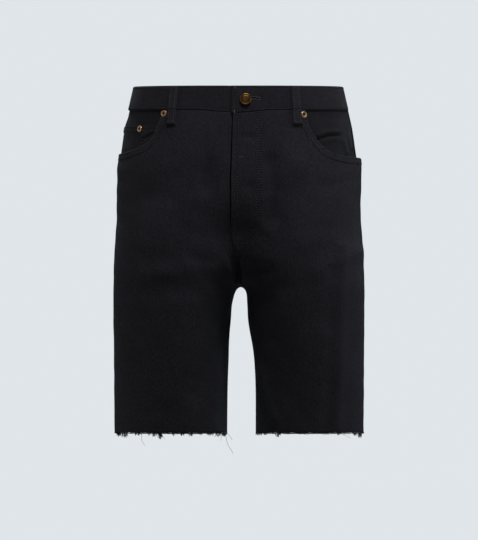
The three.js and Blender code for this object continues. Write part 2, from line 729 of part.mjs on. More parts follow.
// Finishes
const denim = (colour) => new THREE.MeshStandardMaterial({ color: colour, roughness: 0.92, metalness: 0 });
const metal = (colour) => new THREE.MeshStandardMaterial({ color: colour, roughness: 0.34, metalness: 1 });
const BLACK_DENIM = 0x1c1c21;
const FRAYED = 0x2b2b30;
const BRASS = 0x8a6a34;
const COPPER = 0x9a6b45;

const shorts = new THREE.Group();

function piece(name, geometry, material) {
  const mesh = new THREE.Mesh(geometry, material);
  geometry.computeVertexNormals();
  mesh.name = name;
  shorts.add(mesh);
}

piece('waistband', waistband(), denim(BLACK_DENIM));
for (const [side, hand] of [[RIGHT, 'right'], [LEFT, 'left']]) {
  piece(`front_${hand}`, frontPanel(side), denim(BLACK_DENIM));
  piece(`back_${hand}`, backPanel(side), denim(BLACK_DENIM));
  piece(`yoke_${hand}`, yoke(side), denim(BLACK_DENIM));
  piece(`pocket_facing_${hand}`, pocketFacing(side), denim(BLACK_DENIM));
  piece(`back_pocket_${hand}`, backPocket(side), denim(BLACK_DENIM));
  piece(`hem_fray_${hand}`, hemFray(side), denim(FRAYED));
}
piece('coin_pocket', coinPocket(), denim(BLACK_DENIM));
for (const { name, side, topX, bottomX } of FRONT_LOOPS) {
  piece(name, beltLoop(side, (v, z) => phiAtX(side, lerp(topX, bottomX, v), z)), denim(BLACK_DENIM));
}
for (const { name, side, phi } of BACK_LOOPS) {
  piece(name, beltLoop(side, () => phi), denim(BLACK_DENIM));
}
for (const [side, hand] of [[RIGHT, 'right'], [LEFT, 'left']]) {
  const { x, z } = MOUTH_RIVETS[side];
  piece(`rivet_mouth_${hand}`, rivet(side, phiAtX(side, x, z), z, 0.5 * DENIM), metal(COPPER));
}
const coinSeat = 0.5 * DENIM - GAP - RIVET.coinSink;
const { inner, outer } = COIN_RIVETS;
piece('rivet_coin_inner', rivet(RIGHT, phiAtX(RIGHT, inner.x, inner.z), inner.z, coinSeat), metal(COPPER));
piece('rivet_coin_outer', rivet(RIGHT, outer.phi, outer.z, coinSeat), metal(COPPER));
piece('button', button(), metal(BRASS));

export default shorts;
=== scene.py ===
"""Black cut-off denim shorts, buttoned and filled out as if worn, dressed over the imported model.

The garment's own sizes are in millimetres, as a pattern cutter has them; every mesh is made in metres.
+Z is up, the front faces -Y and the wearer's left side is +X. A place on the garment is a pair: phi,
0 at the side seam, 1 at the centre front or inseam and -1 at the centre back or inseam, and depth,
which runs down the side seam from the top of the waistband.
"""

import math
from collections import namedtuple

import bpy
import numpy as np
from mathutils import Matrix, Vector


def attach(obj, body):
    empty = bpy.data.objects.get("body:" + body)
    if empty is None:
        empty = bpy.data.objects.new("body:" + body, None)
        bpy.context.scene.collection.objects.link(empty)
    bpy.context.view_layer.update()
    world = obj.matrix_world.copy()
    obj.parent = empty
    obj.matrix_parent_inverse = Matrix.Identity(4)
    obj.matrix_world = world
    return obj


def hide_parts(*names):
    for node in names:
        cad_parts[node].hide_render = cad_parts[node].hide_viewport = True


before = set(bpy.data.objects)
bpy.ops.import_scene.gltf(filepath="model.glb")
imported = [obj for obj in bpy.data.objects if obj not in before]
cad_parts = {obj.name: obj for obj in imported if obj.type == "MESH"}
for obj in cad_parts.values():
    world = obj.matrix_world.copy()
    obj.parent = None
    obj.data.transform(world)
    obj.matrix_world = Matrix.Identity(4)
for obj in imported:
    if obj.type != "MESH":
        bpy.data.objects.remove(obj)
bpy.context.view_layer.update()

# Driving sizes, as in the solids
WAIST_TOP = 18.0
CROTCH = -272.0
HEM = -482.4
SIDE_LENGTH = WAIST_TOP - HEM
GAP = 0.3
DENIM = 1.5
LINING_CLOTH = 1.2
CHART = 236.0
MM = 1 / CHART
SEAM = 0.0
FAR = 260.0
LAYER_CLEAR = 0.6
RIGHT, LEFT = -1, 1
SIDE_SEAM_TURN = math.radians(11)

Band = namedtuple("Band", "thickness seam dip notch overlap underlap face")
BAND = Band(thickness=3.0, seam=-16.7, dip=2.0, notch=3.2, overlap=7.5, underlap=32.0, face=0.8)
YOKE_SIDE, YOKE_CENTRE = -46.0, -76.0

# Level sections of one half of the body: height, outer edge, the half's own centre, the depths in
# front of and behind the middle line, that line, the roundness and the blend of the two halves
SECTIONS = np.array([
    (18, 150.6, 28, 114, 119, 0, 2.2, 7),
    (-17, 158.6, 28, 116, 125, 0, 2.2, 7),
    (-30, 161.5, 28, 117, 129, 0, 2.2, 7),
    (-45, 164.6, 28, 118, 133, 0, 2.2, 7),
    (-78, 168.8, 29, 119, 141, 0, 2.25, 7),
    (-104, 172.5, 30, 120, 146, 0, 2.3, 8),
    (-130, 175.4, 33, 120, 149, 0, 2.3, 10),
    (-173, 176.2, 43, 119, 150, 0, 2.3, 16),
    (-205, 178.6, 58, 117, 147, 0, 2.3, 20),
    (-235, 180.4, 76, 114, 140, 0, 2.3, 20),
    (-255, 180.8, 86.5, 111.5, 133, 0, 2.3, 22),
    (-272, 181.0, 93.5, 109, 127, 0, 2.3, 24),
    (-295, 181.2, 96.4, 107, 121, 1, 2.25, 18),
    (-320, 181.2, 97.3, 104.5, 116, 2, 2.2, 10),
    (-361, 180.9, 99.6, 99, 109, 3, 2.2, 5),
    (-413, 180.2, 100.6, 92, 100, 4, 2.2, 4),
    (-486, 179.8, 100.7, 84, 90, 5, 2.2, 4),
])

# Sideways lean of the middle of the garment: height, x
LEAN = np.array([
    (18, -3), (-120, -6), (-205, -5), (-272, 2.5), (-300, 1), (-330, 1), (-380, 3.7), (-486, 3.7),
])
LEAN_REACH = 185.0

# The seat seam's hook under the body, from the straight rise round to the crotch point
Hook = namedtuple("Hook", "run rise sign")
FRONT_HOOK = Hook(run=80.0, rise=40.0, sign=-1)
BACK_HOOK = Hook(run=130.0, rise=65.0, sign=1)
INSEAM_EASE = 1.3

# Pocket mouths, from the waistband down and out to the side seam, as the front view shows them
MOUTH = {
    RIGHT: [(108.5, -18), (113, -29), (117.2, -40.2), (124.4, -57.9), (132.4, -65),
            (143.7, -71.6), (155.9, -76.2), (166, -79.3)],
    LEFT: [(95.5, -18), (97.6, -30), (103, -44), (110.8, -57), (121, -70.2),
           (131.2, -77.3), (147, -82.6), (163, -85.6)],
}
MOUTH_END = {RIGHT: -81.0, LEFT: -87.5}
Gape = namedtuple("Gape", "lift fade pocket")
GAPE = {RIGHT: Gape(lift=1.2, fade=34.0, pocket=1.9), LEFT: Gape(lift=5.8, fade=36.0, pocket=0.0)}
FACING_DROP, FACING_SINK = 22.0, 0.8
COIN_TOP, COIN_DROP = -38.4, 16.0

# Folds, from one point to another in the front (1) or back (-1) view, with their width and height.
# The first eleven are the solids' own; the rest are the small ones that only the cloth shows.
FOLDS = [
    (1, -10, -240, -134, -254, 13, 3.2),
    (1, -20, -326, -64, -424, 15, -5.5),
    (1, 26, -386, 48, -462, 5, 4.6),
    (1, 40, -290, 46, -345, 12, -2.5),
    (1, 52, -92, 55, -172, 12, -3.6),
    (1, -38, -96, -42, -126, 12, -1.8),
    (1, 112, -248, 168, -222, 12, 2),
    (-1, -22, -272, -120, -252, 14, -3.5),
    (-1, 24, -280, 128, -262, 14, -3.2),
    (-1, -40, -318, -96, -392, 15, 3),
    (-1, 44, -326, 104, -410, 14, -3),
    (1, -30, -236, -62, -232, 9, -1.7),
    (1, 14, -246, 40, -248, 9, -1.9),
    (1, 3, -55, 27, -57, 5, -0.9),
    (1, 4, -47, 26, -48, 5, 0.7),
    (1, 2, -130, 24, -127, 5, -0.7),
    (1, -40, -104, -34, -94, 9, -1.2),
    (1, 58, -150, 52, -186, 6, -0.9),
    (1, 30, -176, 46, -190, 7, 0.9),
    (1, -150, -108, -120, -98, 10, -0.9),
    (1, -156, -150, -132, -142, 13, -1.1),
    (1, 92, -214, 150, -196, 11, 0.9),
    (1, 128, -128, 160, -118, 8, -0.9),
    (1, 149, -214, 139, -480, 9, 3.6),
    (1, 134, -250, 126, -470, 9, -1.2),
    (1, -160, -250, -160, -400, 9, 0.9),
    (1, -90, -300, -30, -282, 16, 1.2),
    (1, -16, -380, -30, -470, 7, -1.1),
    (1, 62, -420, 96, -462, 12, -0.9),
    (1, -130, -452, -70, -438, 11, -0.9),
    (-1, -60, -236, -130, -226, 8, 1.4),
    (-1, 56, -244, 132, -232, 8, 1.2),
    (-1, -26, -300, -70, -330, 7, -1.2),
    (-1, 30, -306, 72, -338, 7, 1.2),
    (-1, -150, -110, -110, -122, 9, -0.9),
    (-1, 110, -116, 152, -104, 9, -0.9),
    (-1, -8, -228, 30, -236, 8, -1.1),
    (-1, -140, -420, -80, -440, 10, -0.9),
    (-1, 70, -440, 140, -424, 10, -0.9),
]

# Hand-feel of the cloth: low ripples of mixed lengths, the same on every layer
RIPPLES = 26
RIPPLE_LENGTHS = (26.0, 95.0)
RIPPLE_HEIGHT = 0.07

# Broad hollows and swells of the cloth, which may cross the middle seam: face, x, z, width across,
# width down, height
SWELLS = [
    (1, 0, -198, 44, 36, -12.5),
    (1, 0.5, -245, 7.0, 11, -5.0),
    (1, -12, -258, 9, 12, 2.4),
    (1, 96, -88, 50, 32, 2.4),
    (1, -92, -88, 50, 32, 2.2),
    (1, -38, -122, 15, 20, -4.2),
    (1, -48, -244, 18, 13, -3.4),
    (1, 31, -248, 14, 9, -3.4),
    (1, -122, -146, 30, 22, -2.2),
    (1, 118, -170, 34, 40, 2.2),
    (1, -112, -200, 34, 30, 2.0),
    (-1, 0, -216, 40, 34, -7.0),
    (-1, 0.5, -245, 7.0, 11, -3.0),
    (-1, 88, -150, 52, 52, 3.0),
    (-1, -88, -150, 52, 52, 2.6),
]


# Plain maths
def lerp(a, b, t):
    return a + (b - a) * t


def smooth(edge0, edge1, value):
    t = np.clip((value - edge0) / (edge1 - edge0), 0, 1)
    return t * t * (3 - 2 * t)


def bisect(test, low, high):
    for _ in range(34):
        middle = 0.5 * (low + high)
        beyond = test(middle)
        low, high = np.where(beyond, low, middle), np.where(beyond, middle, high)
    return 0.5 * (low + high)


def table_slopes(table):
    last = len(table) - 1
    before = [max(k - 1, 0) for k in range(last + 1)]
    after = [min(k + 1, last) for k in range(last + 1)]
    return (table[after, 1:] - table[before, 1:]) / (table[after, :1] - table[before, :1])


def through(table, z):
    """Smooth curves through a table's columns, whose first is the height, falling."""
    heights, values, slopes = table[:, 0], table[:, 1:], table_slopes(table)
    i = np.clip(np.searchsorted(-heights, -z, side="left") - 1, 0, len(table) - 2)
    span = heights[i + 1] - heights[i]
    t = np.clip((z - heights[i]) / span, 0, 1)[..., None]
    span = span[..., None]
    t2, t3 = t * t, t * t * t
    return ((2 * t3 - 3 * t2 + 1) * values[i] + (t3 - 2 * t2 + t) * span * slopes[i]
            + (3 * t2 - 2 * t3) * values[i + 1] + (t3 - t2) * span * slopes[i + 1])


class Section:
    """The body's level sections at an array of heights: two half ovals, blended where they meet."""

    def __init__(self, z):
        columns = np.moveaxis(through(SECTIONS, z), -1, 0)
        self.outer, self.centre, self.front, self.back, self.middle, self.power, self.blend = columns
        self.width = self.outer - self.centre

    def oval(self, x, y):
        depth = np.where(y < self.middle, self.front, self.back)
        across = (np.abs(x - self.centre) / self.width) ** self.power
        along = (np.abs(y - self.middle) / depth) ** self.power
        return ((across + along) ** (1 / self.power) - 1) * self.width

    def body(self, x, y):
        own, other = self.oval(x, y), self.oval(-x, y)
        meet = np.maximum(self.blend - np.abs(own - other), 0)
        return np.minimum(own, other) - meet * meet / (4 * self.blend)


def hook_point(hook):
    return WAIST_TOP - CROTCH - hook.rise + hook.run


def end_height(hook, depth):
    point = hook_point(hook)
    under = CROTCH + hook.rise * ((point - depth) / hook.run) ** 2
    leg = np.maximum(depth - point, 0) / (SIDE_LENGTH - point)
    inseam = CROTCH + (HEM - CROTCH) * leg**INSEAM_EASE
    return np.where(depth <= point - hook.run, WAIST_TOP - depth, np.where(depth <= point, under, inseam))


def end_angles(hook):
    """The way from the half's centre to the seat seam, at each of ANGLE_DEPTHS."""
    row = Section(end_height(hook, ANGLE_DEPTHS))
    zero, ones = np.zeros_like(ANGLE_DEPTHS), np.ones_like(ANGLE_DEPTHS)
    y = bisect(lambda r: row.body(zero, row.middle + hook.sign * r) > 0, zero, 200 * ones)
    angle = np.arctan2(hook.sign * y, -row.centre)
    return np.where(ANGLE_DEPTHS >= hook_point(hook), hook.sign * math.pi, angle)


ANGLE_DEPTHS = np.linspace(-2, SIDE_LENGTH, 2400)
FRONT_ANGLES = end_angles(FRONT_HOOK)
BACK_ANGLES = end_angles(BACK_HOOK)


def on_body(phi, depth):
    across = np.abs(phi)
    fore = phi >= 0
    end = np.where(fore, end_height(FRONT_HOOK, depth), end_height(BACK_HOOK, depth))
    end_angle = np.where(fore, np.interp(depth, ANGLE_DEPTHS, FRONT_ANGLES),
                         np.interp(depth, ANGLE_DEPTHS, BACK_ANGLES))
    z = lerp(WAIST_TOP - depth, end, smooth(0, 1, across))
    angle = lerp(SIDE_SEAM_TURN, end_angle, across)
    row = Section(z)
    cos, sin = np.cos(angle), np.sin(angle)
    middle_plane = np.where(cos < -1e-9, -row.centre / np.minimum(cos, -1e-9), FAR)
    r = bisect(lambda reach: row.body(row.centre + reach * cos, row.middle + reach * sin) > 0,
               np.ones_like(z), np.minimum(middle_plane, FAR))
    return row.centre + r * cos, row.middle + r * sin, z


def outward(x, y, z):
    step = 0.4
    row = Section(z)
    slope = np.stack([
        row.body(x + step, y) - row.body(x - step, y),
        row.body(x, y + step) - row.body(x, y - step),
        Section(z + step).body(x, y) - Section(z - step).body(x, y),
    ], -1)
    return slope / np.linalg.norm(slope, axis=-1, keepdims=True)


def fold_height(x, z, fore):
    height = np.zeros_like(x)
    for face, x0, z0, x1, z1, width, rise in FOLDS:
        run_x, run_z = x1 - x0, z1 - z0
        t = np.clip(((x - x0) * run_x + (z - z0) * run_z) / (run_x**2 + run_z**2), 0, 1)
        distance = np.hypot(x - x0 - t * run_x, z - z0 - t * run_z) / width
        height += np.where(fore == (face > 0), rise * np.exp(-distance * distance), 0)
    return height


def ripple_height(x, z, fore):
    """Soft unevenness: a sum of waves with random lengths and directions, which differ at the back."""
    draw = np.random.default_rng(7)
    height = np.zeros_like(x)
    for _ in range(RIPPLES):
        length, turn, phase, back_phase = (draw.uniform(*RIPPLE_LENGTHS), draw.uniform(0, math.pi),
                                           draw.uniform(0, 2 * math.pi), draw.uniform(0, 2 * math.pi))
        way = 2 * math.pi * (x * math.cos(turn) + z * math.sin(turn)) / length
        height += RIPPLE_HEIGHT * np.sin(way + np.where(fore, phase, back_phase))
    return height


def swell_height(x, z, fore):
    height = np.zeros_like(x)
    for face, x0, z0, width, length, rise in SWELLS:
        away = ((x - x0) / width) ** 2 + ((z - z0) / length) ** 2
        height += np.where(fore == (face > 0), rise * np.exp(-away), 0)
    return height


class Seat:
    """Where places of the garment lie. at() lifts them off the body's surface by a height."""

    def __init__(self, side, phi, depth):
        side, phi, depth = np.broadcast_arrays(*(np.asarray(a, float) for a in (side, phi, depth)))
        self.half = np.where(np.abs(phi) > 1, -side, side)
        turn = np.where(phi > 1, 2 - phi, np.where(phi < -1, -2 - phi, phi))
        x, y, z = on_body(turn, depth)
        self.points = np.stack([x, y, z], -1)
        self.normals = outward(x, y, z)
        fore = turn >= 0
        loose = smooth(0, 0.07, 1 - np.abs(turn))
        ripple = ripple_height(self.half * x, z, fore) * smooth(30, 60, depth) * smooth(0, 0.08, np.abs(turn))
        steady = swell_height(self.half * x, z, fore)
        self.fold = (fold_height(self.half * x, z, fore) + ripple) * loose + steady

    def at(self, height):
        lifted = self.points + self.normals * (height + self.fold)[..., None]
        x, y, z = np.moveaxis(lifted, -1, 0)
        lean = through(LEAN, z)[..., 0] * (1 - (x / LEAN_REACH) ** 2)
        return np.stack([self.half * x + lean, y, z], -1)

    def out(self):
        return np.stack([self.half * self.normals[..., 0], self.normals[..., 1], self.normals[..., 2]], -1)


def phi_at_x(side, x, z):
    """The places round the front whose front-view distance from the middle is x."""
    x, z = np.broadcast_arrays(np.asarray(x, float), np.asarray(z, float))
    beyond = lambda phi: side * Seat(side, phi, WAIST_TOP - z).at(np.zeros_like(x))[..., 0] < x
    return bisect(beyond, np.full_like(x, 0.1), np.ones_like(x))


# Seams and edges, as depths or places
def band_seam(phi):
    across = np.maximum(phi, 0)
    notch = smooth(0.76, 1, np.minimum(across, 2 - across))
    return WAIST_TOP - BAND.seam + BAND.dip * across * across + BAND.notch * notch


def yoke_seam(phi):
    return WAIST_TOP - lerp(YOKE_SIDE, YOKE_CENTRE, np.minimum(-phi, 1))


def spline(points, count):
    """A smooth curve through points, at even steps from the first to the last."""
    points = np.asarray(points, float)
    last = len(points) - 1
    reach = np.linspace(0, last, count)
    i = np.minimum(reach.astype(int), last - 1)
    t = (reach - i)[:, None]
    p0, p1 = points[np.maximum(i - 1, 0)], points[i]
    p2, p3 = points[i + 1], points[np.minimum(i + 2, last)]
    v0, v1 = 0.5 * (p2 - p0), 0.5 * (p3 - p1)
    return (2 * p1 - 2 * p2 + v0 + v1) * t**3 + (-3 * p1 + 3 * p2 - 2 * v0 - v1) * t**2 + v0 * t + p1


def mouth_curve(side):
    x, z = np.array(MOUTH[side], float).T
    places = np.stack([phi_at_x(side, x, z), WAIST_TOP - z], -1)
    return spline([*places, (SEAM, WAIST_TOP - MOUTH_END[side])], 240)


MOUTH_CURVES = {side: mouth_curve(side) for side in (RIGHT, LEFT)}


def mouth_corner(side):
    return MOUTH_CURVES[side][0, 0]


def mouth_depth(side, phi):
    curve = MOUTH_CURVES[side][::-1]
    return np.interp(phi, curve[:, 0], curve[:, 1])


def mouth_lift(side, phi, depth):
    """How far the front stands off the body round the pocket mouth."""
    gape = GAPE[side]
    end = WAIST_TOP - MOUTH_END[side]
    across = smooth(0.44, 0.16, phi) * lerp(0.3, 1, smooth(-0.05, 0.1, phi))
    behind = np.where(phi < 0, np.exp(np.minimum(phi, 0) / 0.05), 1)
    below = np.where(phi < 0, np.abs(depth - end), np.maximum(depth - end, 0))
    gaping = gape.lift * across * behind * np.exp(-((below / gape.fade) ** 2))
    over_pocket = (gape.pocket * smooth(40, 58, depth) * smooth(0.62, 0.48, phi)
                   * smooth(142, 118, depth) * behind)
    return gaping + over_pocket


def fly_edge(depth):
    return 1 + 4.5 * MM * smooth(250, 215, depth)


def underlap(depth):
    return lerp(-GAP, 12, smooth(246, 218, depth)) * MM


def front_height(side, phi, depth):
    lift = mouth_lift(side, phi, depth) - 0.5 * DENIM
    if side == LEFT:
        return lift
    under = smooth(fly_edge(depth) + 14 * MM, fly_edge(depth) + 1.5 * MM, 2 - phi)
    return lift - (DENIM + LAYER_CLEAR) * under * smooth(272, 252, depth)


def facing_height(side, phi, depth):
    hidden = smooth(-1, 9, depth - mouth_depth(side, phi))
    follow = 0.5 * np.maximum(mouth_lift(side, phi, depth) - GAPE[side].pocket, 0)
    return hidden * (follow - FACING_SINK) - 0.5 * DENIM - GAP - LINING_CLOTH


# Stitched rows. A row is a chain of places, each (phi, depth), about ROW_STEP apart.
ROW_STEP = 1.6
ROW_REACH = 7.0
GROOVE_DEPTH, GROOVE_WIDTH = 0.15, 1.4
PUCKER_HEIGHT, PUCKER_LENGTH, PUCKER_WIDTH = 0.12, 5.5, 3.2


def chain(places):
    """A row resampled to even steps along the cloth."""
    places = np.asarray(places, float)
    steps = np.hypot(*(np.diff(places, axis=0) * (CHART, 1)).T)
    run = np.concatenate([[0], np.cumsum(steps)])
    even = np.linspace(0, run[-1], max(int(run[-1] / ROW_STEP), 1) + 1)
    return np.stack([np.interp(even, run, places[:, 0]), np.interp(even, run, places[:, 1])], -1)


def beside(places, distance):
    """The row that runs at a distance to the left of another, seen from outside with phi to the right."""
    flat = np.asarray(places, float) * (CHART, 1)
    along = np.gradient(flat, axis=0)
    along /= np.linalg.norm(along, axis=1, keepdims=True)
    return (flat + distance * np.stack([along[:, 1], -along[:, 0]], -1)) / (CHART, 1)


def line(phi0, depth0, phi1, depth1):
    return chain([(phi0, depth0), (phi1, depth1)])


def along_row(phi, depth, row):
    """How far each place is from a row, and how far along the row it lies."""
    distance, run = np.full(phi.shape, 99.0), np.zeros(phi.shape)
    flat = row * (CHART, 1)
    low, high = flat.min(0) - ROW_REACH, flat.max(0) + ROW_REACH
    x, y = phi * CHART, depth
    near = (x > low[0]) & (x < high[0]) & (y > low[1]) & (y < high[1])
    if not near.any():
        return distance, run
    spot = np.stack([x[near], y[near]], -1)[:, None]
    start, step = flat[:-1], np.diff(flat, axis=0)
    length = np.linalg.norm(step, axis=1)
    t = np.clip(((spot - start) * step).sum(-1) / length**2, 0, 1)
    gap = np.linalg.norm(spot - start - t[..., None] * step, axis=-1)
    nearest = gap.argmin(1)
    rows = np.arange(len(nearest))
    distance[near] = gap[rows, nearest]
    before = np.concatenate([[0], np.cumsum(length)[:-1]])
    run[near] = before[nearest] + t[rows, nearest] * length[nearest]
    return distance, run


def stitched(phi, depth, rows):
    """The cloth's relief round its stitched rows: a groove under the thread and puckers beside it."""
    relief = np.zeros(phi.shape)
    for row in rows:
        distance, run = along_row(phi, depth, row)
        relief -= GROOVE_DEPTH * np.exp(-((distance / GROOVE_WIDTH) ** 2))
        relief += (PUCKER_HEIGHT * np.sin(2 * math.pi * run / PUCKER_LENGTH)
                   * np.exp(-((distance / PUCKER_WIDTH) ** 2)))
    return relief


def spaced(length, step, first=True, last=True, dense=()):
    """Places along a length, from 0 to 1, close together at its rounded ends and in dense stretches."""
    edge = [0.12, 0.35, 0.75, 1.5] if first else []
    stop = length - (1.5 if last else 0)
    places = [0.0, *edge]
    while places[-1] < stop - 0.4 * step:
        here = min([s for low, high, s in dense if low <= places[-1] < high], default=step)
        places.append(min(places[-1] + here, stop))
    places[-1] = stop
    if last:
        places += [length - d for d in (0.75, 0.35, 0.12, 0)]
    return np.array(places) / length


def edge_distance(phi, depth, rounded):
    """How far each place of a grid is from its nearest rounded border: top, bottom, first, last."""
    x, y = phi * CHART, depth
    level = lambda k: np.abs(np.gradient(x[k])) / (np.hypot(np.gradient(x[k]), np.gradient(y[k])) + 1e-9)
    upright = lambda k: (np.abs(np.gradient(y[:, k]))
                         / (np.hypot(np.gradient(x[:, k]), np.gradient(y[:, k])) + 1e-9))
    gaps = [np.abs(y - y[:1]) * level(0), np.abs(y - y[-1:]) * level(-1),
            np.abs(x - x[:, :1]) * upright(0)[:, None], np.abs(x - x[:, -1:]) * upright(-1)[:, None]]
    kept = [gap for gap, round_here in zip(gaps, rounded) if round_here]
    return np.min(kept, axis=0) if kept else np.full(phi.shape, 99.0)


# Shader maths
class Value:
    """A shader socket that can be added, multiplied and so on, each adding its Math node."""

    def __init__(self, finish, socket):
        self.finish, self.socket = finish, socket

    def maths(self, operation, *others):
        return self.finish.node("ShaderNodeMath", {"operation": operation}, dict(enumerate((self, *others))))

    def __add__(self, other):
        return self.maths("ADD", other)

    def __mul__(self, other):
        return self.maths("MULTIPLY", other)

    def __sub__(self, other):
        return self.maths("SUBTRACT", other)

    def __rsub__(self, other):
        return self.finish.node("ShaderNodeMath", {"operation": "SUBTRACT"}, {0: other, 1: self})

    def __pow__(self, other):
        return self.maths("POWER", other)

    __radd__, __rmul__ = __add__, __mul__

    def sine(self):
        return self.maths("SINE")

    def ranged(self, low, high, to_low=0.0, to_high=1.0):
        return self.finish.node("ShaderNodeMapRange", {"clamp": True}, {
            "Value": self, "From Min": low, "From Max": high, "To Min": to_low, "To Max": to_high})


class Finish:
    """A material and its nodes."""

    def __init__(self, name):
        self.material = bpy.data.materials.new(name)
        self.material.use_nodes = True
        self.tree = self.material.node_tree
        self.tree.nodes.clear()

    def node(self, kind, settings=None, sockets=None, output=0):
        made = self.tree.nodes.new(kind)
        for key, value in (settings or {}).items():
            if key == "stops":
                ramp = made.color_ramp.elements
                ramp[0].position, ramp[0].color = value[0]
                ramp[-1].position, ramp[-1].color = value[-1]
                for position, colour in value[1:-1]:
                    ramp.new(position).color = colour
            else:
                setattr(made, key, value)
        for key, value in (sockets or {}).items():
            if isinstance(value, Value):
                self.tree.links.new(value.socket, made.inputs[key])
            else:
                made.inputs[key].default_value = value
        return Value(self, made.outputs[output]) if made.outputs else None

    def mixed(self, factor, first, second):
        """A colour between two, each a tuple or a socket."""
        return self.node("ShaderNodeMix", {"data_type": "RGBA"}, {0: factor, 6: first, 7: second}, 2)

    def noise(self, vector, scale, detail=2.0, roughness=0.5):
        return self.node("ShaderNodeTexNoise", None, {
            "Vector": vector, "Scale": scale, "Detail": detail, "Roughness": roughness})

    def stretched(self, vector, scale):
        return self.node("ShaderNodeVectorMath", {"operation": "MULTIPLY"}, {0: vector, 1: scale})

    def place(self):
        return self.node("ShaderNodeTexCoord", None, None, 3)

    def cloth_map(self):
        return self.node("ShaderNodeUVMap", {"uv_map": "cloth"})

    def axes(self, vector):
        split = self.node("ShaderNodeSeparateXYZ", None, {0: vector}).socket.node
        return [Value(self, output) for output in split.outputs]

    def attribute(self, name):
        return self.node("ShaderNodeAttribute", {"attribute_name": name}, None, 2)

    def surface(self, **sockets):
        """Ends the material in one Principled shader; names have _ for a space."""
        shader = self.node("ShaderNodeBsdfPrincipled", None, {
            key.replace("_", " "): value for key, value in sockets.items()})
        self.node("ShaderNodeOutputMaterial", None, {"Surface": shader})
        return self.material

    def bump(self, height, distance, strength=1.0):
        return self.node("ShaderNodeBump", None, {
            "Height": height, "Distance": distance, "Strength": strength})


TWILL_PITCH = 0.00085
TWILL_RISE = 1.7
YARN_PITCH = 0.0005
SPECULAR = 0.07


def grey(level, blue=1.0):
    return (level, level, level * blue, 1)


def denim_finish(name, dark, light, weave=1.0, specular=SPECULAR):
    """Black twill: slubby upright warp, a fine diagonal, worn a little grey along edges and seams, and lighter along
    the pocket mouths' edges as wear and painted highlight.
    """
    cloth = Finish(name)
    chart = cloth.cloth_map()
    across, down, _ = cloth.axes(chart)
    diagonal = ((across * TWILL_RISE + down) * (2 * math.pi / TWILL_PITCH)).sine()
    yarn = (across * (2 * math.pi / YARN_PITCH)).sine()
    slub = cloth.noise(cloth.stretched(chart, (820, 210, 1)), 1.0, 3.0, 0.6)
    streak = cloth.noise(cloth.stretched(chart, (430, 30, 1)), 1.0, 3.0, 0.6)
    fleck = cloth.noise(cloth.place(), 520.0, 2.0, 0.7)
    cloud = cloth.noise(cloth.place(), 16.0, 3.0, 0.55)
    # Lightening by the wear attribute: real wear, and along the pocket mouths also painted highlight
    worn = cloth.attribute("wear") * cloth.noise(cloth.place(), 240.0, 3.0, 0.6).ranged(0.3, 0.7)
    tone = (slub * 0.8 + streak * 0.3 + cloud * 0.3 + fleck * 0.65 + diagonal * 0.03
            + worn * 0.45 - 0.575)
    colour = cloth.mixed(tone.ranged(0, 1), dark, light)
    height = diagonal * (0.5 * weave) + yarn * (0.22 * weave) + fleck * 0.9 + slub * 0.5
    return cloth.surface(
        Base_Color=colour, Roughness=(1.02 - tone * 0.35).ranged(0, 1, 0, 1),
        Specular_IOR_Level=specular, Sheen_Weight=0.05, Sheen_Roughness=0.42,
        Sheen_Tint=(0.55, 0.6, 0.7, 1), Normal=cloth.bump(height, 0.00016, 0.55))


def thread_finish(name, colour, lustre=0.55, shine=0.12):
    thread = Finish(name)
    fibre = thread.noise(thread.place(), 2600.0, 2.0, 0.6)
    shade = thread.mixed(fibre.ranged(0.3, 0.7), tuple(0.72 * c for c in colour[:3]) + (1,), colour)
    return thread.surface(Base_Color=shade, Roughness=fibre * 0.2 + lustre, Specular_IOR_Level=shine,
                          Sheen_Weight=0.02, Normal=thread.bump(fibre, 0.0001, 0.6))


def metal_finish(name, bright, dull, polish):
    """Plated metal, dull and dark where the attribute 'recess' is 1, with fine scratches."""
    metal = Finish(name)
    recess = metal.attribute("recess")
    patina = metal.noise(metal.place(), 900.0, 4.0, 0.65)
    scratch = metal.noise(metal.stretched(metal.place(), (4000, 600, 900)), 1.0, 2.0, 0.6)
    dark = (recess * 0.85 + patina.ranged(0.42, 0.75) * 0.35).ranged(0, 1)
    return metal.surface(
        Base_Color=metal.mixed(dark, bright, dull), Metallic=1.0,
        Roughness=dark * 0.35 + scratch * 0.12 + polish,
        Normal=metal.bump(scratch + patina * 0.6, 0.00008, 0.4))


DENIM_FINISH = denim_finish("black_denim", (0.0016, 0.0016, 0.0022, 1), (0.0270, 0.0267, 0.0345, 1))
BAND_FINISH = denim_finish("black_denim_band", (0.0016, 0.0016, 0.0022, 1), (0.0235, 0.0232, 0.0300, 1))
# The pocket facing and coin pocket are the same denim made darker: painted shade for the pocket mouth's recess
SHADED_FACING_FINISH = denim_finish("black_denim_facing_painted_shade", (0.0012, 0.0012, 0.0017, 1), (0.0165, 0.0162, 0.0212, 1))
THREAD_FINISH = thread_finish("black_thread", (0.086, 0.086, 0.096, 1))
# Painted shade: near-black thread laid flat in the stitch grooves, the rise and the buttonhole slit, where shade falls
GROOVE_SHADE_FINISH = thread_finish("painted_groove_shade_thread", (0.0016, 0.0016, 0.0020, 1), 0.85, 0.02)
